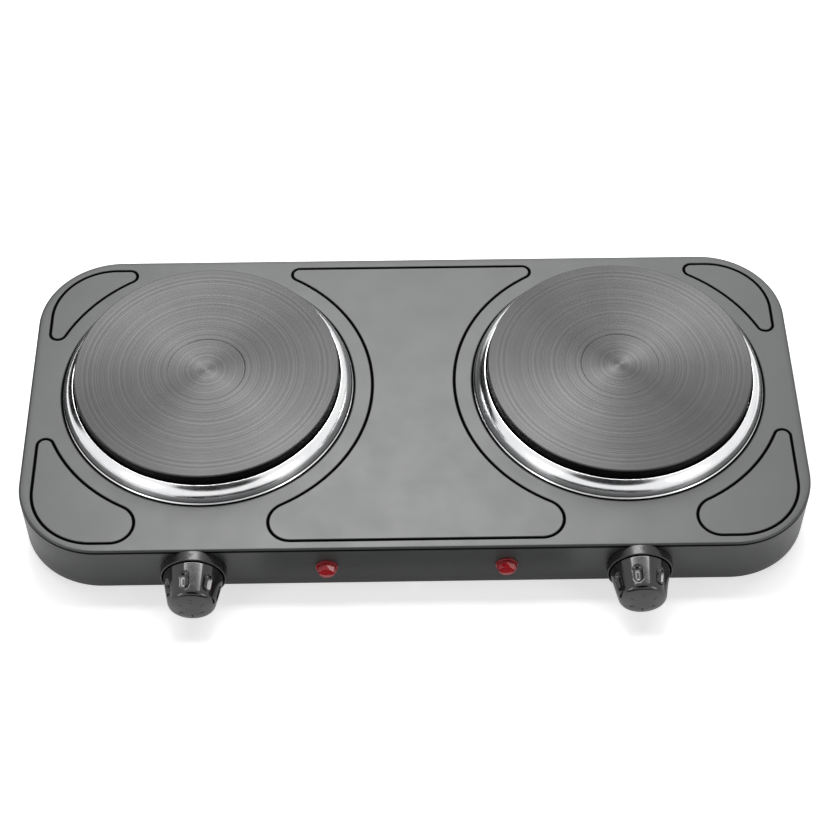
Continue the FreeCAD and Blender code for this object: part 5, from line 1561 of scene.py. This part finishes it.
# ------------------------------------------------------------------ studio
@dataclass
class Studio:
    """Pale floor, soft light, black screens that give the polished surfaces their dark bands, camera.

    Attributes:
        target: point that the camera and the lamps face.
        distance: from that point to the camera.
        elevation: camera's angle above the table, in degrees.
        azimuth: camera's angle from the object's front, in degrees.
        lens: focal length of the camera.
        sensor: width of its sensor.
        shift: shift of its lens, as a share of the frame.
        clip: nearest and farthest distance that it shows, in metres.
        surround: strength of the surroundings as light, and where they are seen.
        floor_r: radius of the floor.
        floor_white: how much light the floor returns.
        floor_glow: the floor's own white in polished surfaces, and to the camera.
        flock: how much light the screens return.
    """
    target: tuple[float, float, float] = (0.0, BODY_Y, TOP_Z)
    distance: float = 1428.5
    elevation: float = 52.0
    azimuth: float = -0.95
    lens: float = 88.28
    sensor: float = 36.0
    shift: tuple[float, float] = (0.0005, -0.0223)
    clip: tuple[float, float] = (0.05, 30.0)
    surround: tuple[float, float] = (0.15, 1.0)
    floor_r: float = 20000.0
    floor_white: float = 0.9
    floor_glow: tuple[float, float] = (0.3, 0.62)
    flock: float = 0.01

    def seen_white(self, tree: bpy.types.NodeTree) -> bpy.types.NodeSocket:
        """1 for rays that show a background: from the camera, or off or through a glossy surface.

        Args:
            tree: the node tree of the world or the floor.

        Returns:
            The highest of the three ray tests.
        """
        path = add_node(tree, "ShaderNodeLightPath")
        first = add_node(tree, "ShaderNodeMath", {"operation": "MAXIMUM"},
                         {0: path.outputs["Is Camera Ray"], 1: path.outputs["Is Glossy Ray"]})
        return add_node(tree, "ShaderNodeMath", {"operation": "MAXIMUM"},
                        {0: first.outputs[0], 1: path.outputs["Is Transmission Ray"]}).outputs[0]

    def world(self) -> None:
        """Even pale surroundings, white where they are seen."""
        world = bpy.data.worlds.new("studio_surroundings")
        bpy.context.scene.world = world
        world.use_nodes = True
        tree = world.node_tree
        tree.nodes.clear()
        seen = self.seen_white(tree)
        strength = add_node(tree, "ShaderNodeMapRange",
                            {"To Min": self.surround[0], "To Max": self.surround[1]}, {"Value": seen})
        back = add_node(tree, "ShaderNodeBackground", {"Color": (1, 1, 1, 1)},
                        {"Strength": strength.outputs["Result"]})
        add_node(tree, "ShaderNodeOutputWorld", links={"Surface": back.outputs[0]})

    def floor(self) -> None:
        """Large pale floor that keeps the object's shadow.

        Its own white is only for rays that show a background, so it doesn't light the object.
        """
        patch = lathe(np.array([(self.floor_r, 0.0), (0.0, 0.0)]), 64, close=False)
        mesh = make_mesh("studio_floor", Patch(patch.points, patch.faces), STUDIO_SHARP_DEG)
        material, tree = new_material("matt_white_floor")
        matt = add_node(tree, "ShaderNodeBsdfDiffuse", {"Color": (*[self.floor_white] * 3, 1)})
        path = add_node(tree, "ShaderNodeLightPath")
        strength = add_node(tree, "ShaderNodeMapRange",
                            {"To Min": self.floor_glow[0], "To Max": self.floor_glow[1]},
                            {"Value": path.outputs["Is Camera Ray"]})
        glow = add_node(tree, "ShaderNodeEmission", links={"Strength": strength.outputs["Result"]})
        both = add_node(tree, "ShaderNodeAddShader", links={0: matt.outputs[0], 1: glow.outputs[0]})
        mix = add_node(tree, "ShaderNodeMixShader", links={0: self.seen_white(tree), 1: matt.outputs[0],
                                                           2: both.outputs[0]})
        add_node(tree, "ShaderNodeOutputMaterial", links={"Surface": mix.outputs[0]})
        mesh.materials.append(material)
        linked("studio_floor", mesh)

    def softbox(self, name: str, place: tuple[float, float, float], size: tuple[float, float],
                radiance: float) -> None:
        """Rectangular lamp that faces the target.

        Its power is radiance x area x pi, so that its face is as bright as radiance.

        Args:
            name: the lamp's name.
            place: its centre, in millimetres.
            size: its width and height, in millimetres.
            radiance: brightness of its face, where 1 is white.
        """
        lamp = bpy.data.lights.new(name, "AREA")
        lamp.shape = "RECTANGLE"
        lamp.size, lamp.size_y = size[0] * MM, size[1] * MM
        lamp.energy = radiance * lamp.size * lamp.size_y * math.pi
        light = linked(name, lamp)
        light.location = Vector(place) * MM
        light.rotation_euler = (Vector(place) - Vector(self.target)).to_track_quat("Z", "Y").to_euler()
        light.visible_camera = False

    def flag(self, name: str, azimuths: tuple[float, float], low: tuple[float, float],
             high: tuple[float, float]) -> None:
        """Black screen that only polished surfaces show: an oval patch of a cone about the Z axis.

        Its height narrows to both sides as the square root of 1 - s^2, where s goes from -1 to 1.

        Args:
            name: the screen's name.
            azimuths: its two sides, in degrees from +X.
            low: distance from the axis and height of its lower edge, in millimetres.
            high: the same of its upper edge.
        """
        side = np.sin(np.linspace(-np.pi / 2, np.pi / 2, 33))
        turn = np.radians(azimuths[0] + (azimuths[1] - azimuths[0]) * (side + 1) / 2)
        part = np.sqrt(np.maximum(1 - side ** 2, 1e-4))
        middle = (np.array(low) + np.array(high)) / 2
        rows = []
        for reach, level in (np.array(low), np.array(high)):
            distance = middle[0] + (reach - middle[0]) * part
            rows.append(np.stack([distance * np.cos(turn), distance * np.sin(turn),
                                  middle[1] + (level - middle[1]) * part], -1))
        self.hang(name, grid_patch(np.array(rows), flip=True))

    def hang(self, name: str, patch: Patch) -> None:
        """Puts up a black screen that only glossy rays meet.

        Args:
            name: the screen's name.
            patch: its surface, in millimetres.
        """
        mesh = make_mesh(name, patch, STUDIO_SHARP_DEG)
        material, tree = new_material("black_flock")
        flock = add_node(tree, "ShaderNodeBsdfDiffuse", {"Color": (*[self.flock] * 3, 1)})
        add_node(tree, "ShaderNodeOutputMaterial", links={"Surface": flock.outputs[0]})
        mesh.materials.append(material)
        screen = linked(name, mesh)
        screen.visible_camera = screen.visible_diffuse = screen.visible_shadow = False
        screen.visible_transmission = False

    def card(self, name: str, across: tuple[float, float], along: tuple[float, float]) -> None:
        """Black card on the floor that only polished surfaces show, between two X and two Y values."""
        corners = [(x, y, 1.0) for x, y in zip(across + across[::-1], np.repeat(along, 2))]
        self.hang(name, Patch(np.array(corners, float), np.array([[0, 1, 2, 3]])))

    def camera(self) -> None:
        """Camera on the object's front, looking down at it."""
        azimuth, elevation = math.radians(self.azimuth), math.radians(self.elevation)
        back = Vector((math.sin(azimuth) * math.cos(elevation), -math.cos(azimuth) * math.cos(elevation),
                       math.sin(elevation)))
        data = bpy.data.cameras.new("studio_camera")
        data.lens = self.lens
        data.sensor_width = self.sensor
        data.shift_x, data.shift_y = self.shift
        data.clip_start, data.clip_end = self.clip
        camera = linked("studio_camera", data)
        camera.location = (Vector(self.target) + back * self.distance) * MM
        camera.rotation_euler = back.to_track_quat("Z", "Y").to_euler()
        bpy.context.scene.camera = camera

    def build(self) -> None:
        """Sets up surroundings, floor, lamps, screens and camera."""
        self.world()
        self.floor()
        self.softbox("overhead_back_softbox", (-55.0, 640.0, 1310.0), (700.0, 460.0), 10.6)
        self.softbox("rear_softbox", (0.0, 1150.0, 1120.0), (1500.0, 600.0), 3.0)
        for side in Side:
            self.softbox(f"front_{side.word}_softbox", (side.value * 1390.0, -1165.0, 845.0),
                         (500.0, 800.0), 3.0)
        self.softbox("top_strip_softbox", (0.0, 260.0, 1480.0), (1900.0, 190.0), 8.0)
        self.flag("front_horizon_screen", (235.0, 305.0), (560.0, -80.0), (560.0, 135.0))
        self.flag("camera_side_screen", (235.0, 305.0), (1850.0, 1190.0), (895.0, 2010.0))
        self.card("front_floor_screen", (-108.0, 108.0), (-163.0, -138.0))
        self.flag("left_back_screen", (115.0, 175.0), (620.0, 1.0), (620.0, 420.0))
        self.camera()
        bpy.context.scene.view_settings.view_transform = "Standard"


def main() -> None:
    """Builds the hot plate and its studio."""
    logging.basicConfig(level=logging.INFO, format="%(name)s %(message)s")
    dress_frame_nodes()
    Housing().build()
    for side in Side:
        CookingPlate(side).build()
        Dial(side).build()
        PilotLens(side).build()
    CordBush().build()
    TableFeet().build()
    Studio().build()


if __name__ == "__main__":
    main()
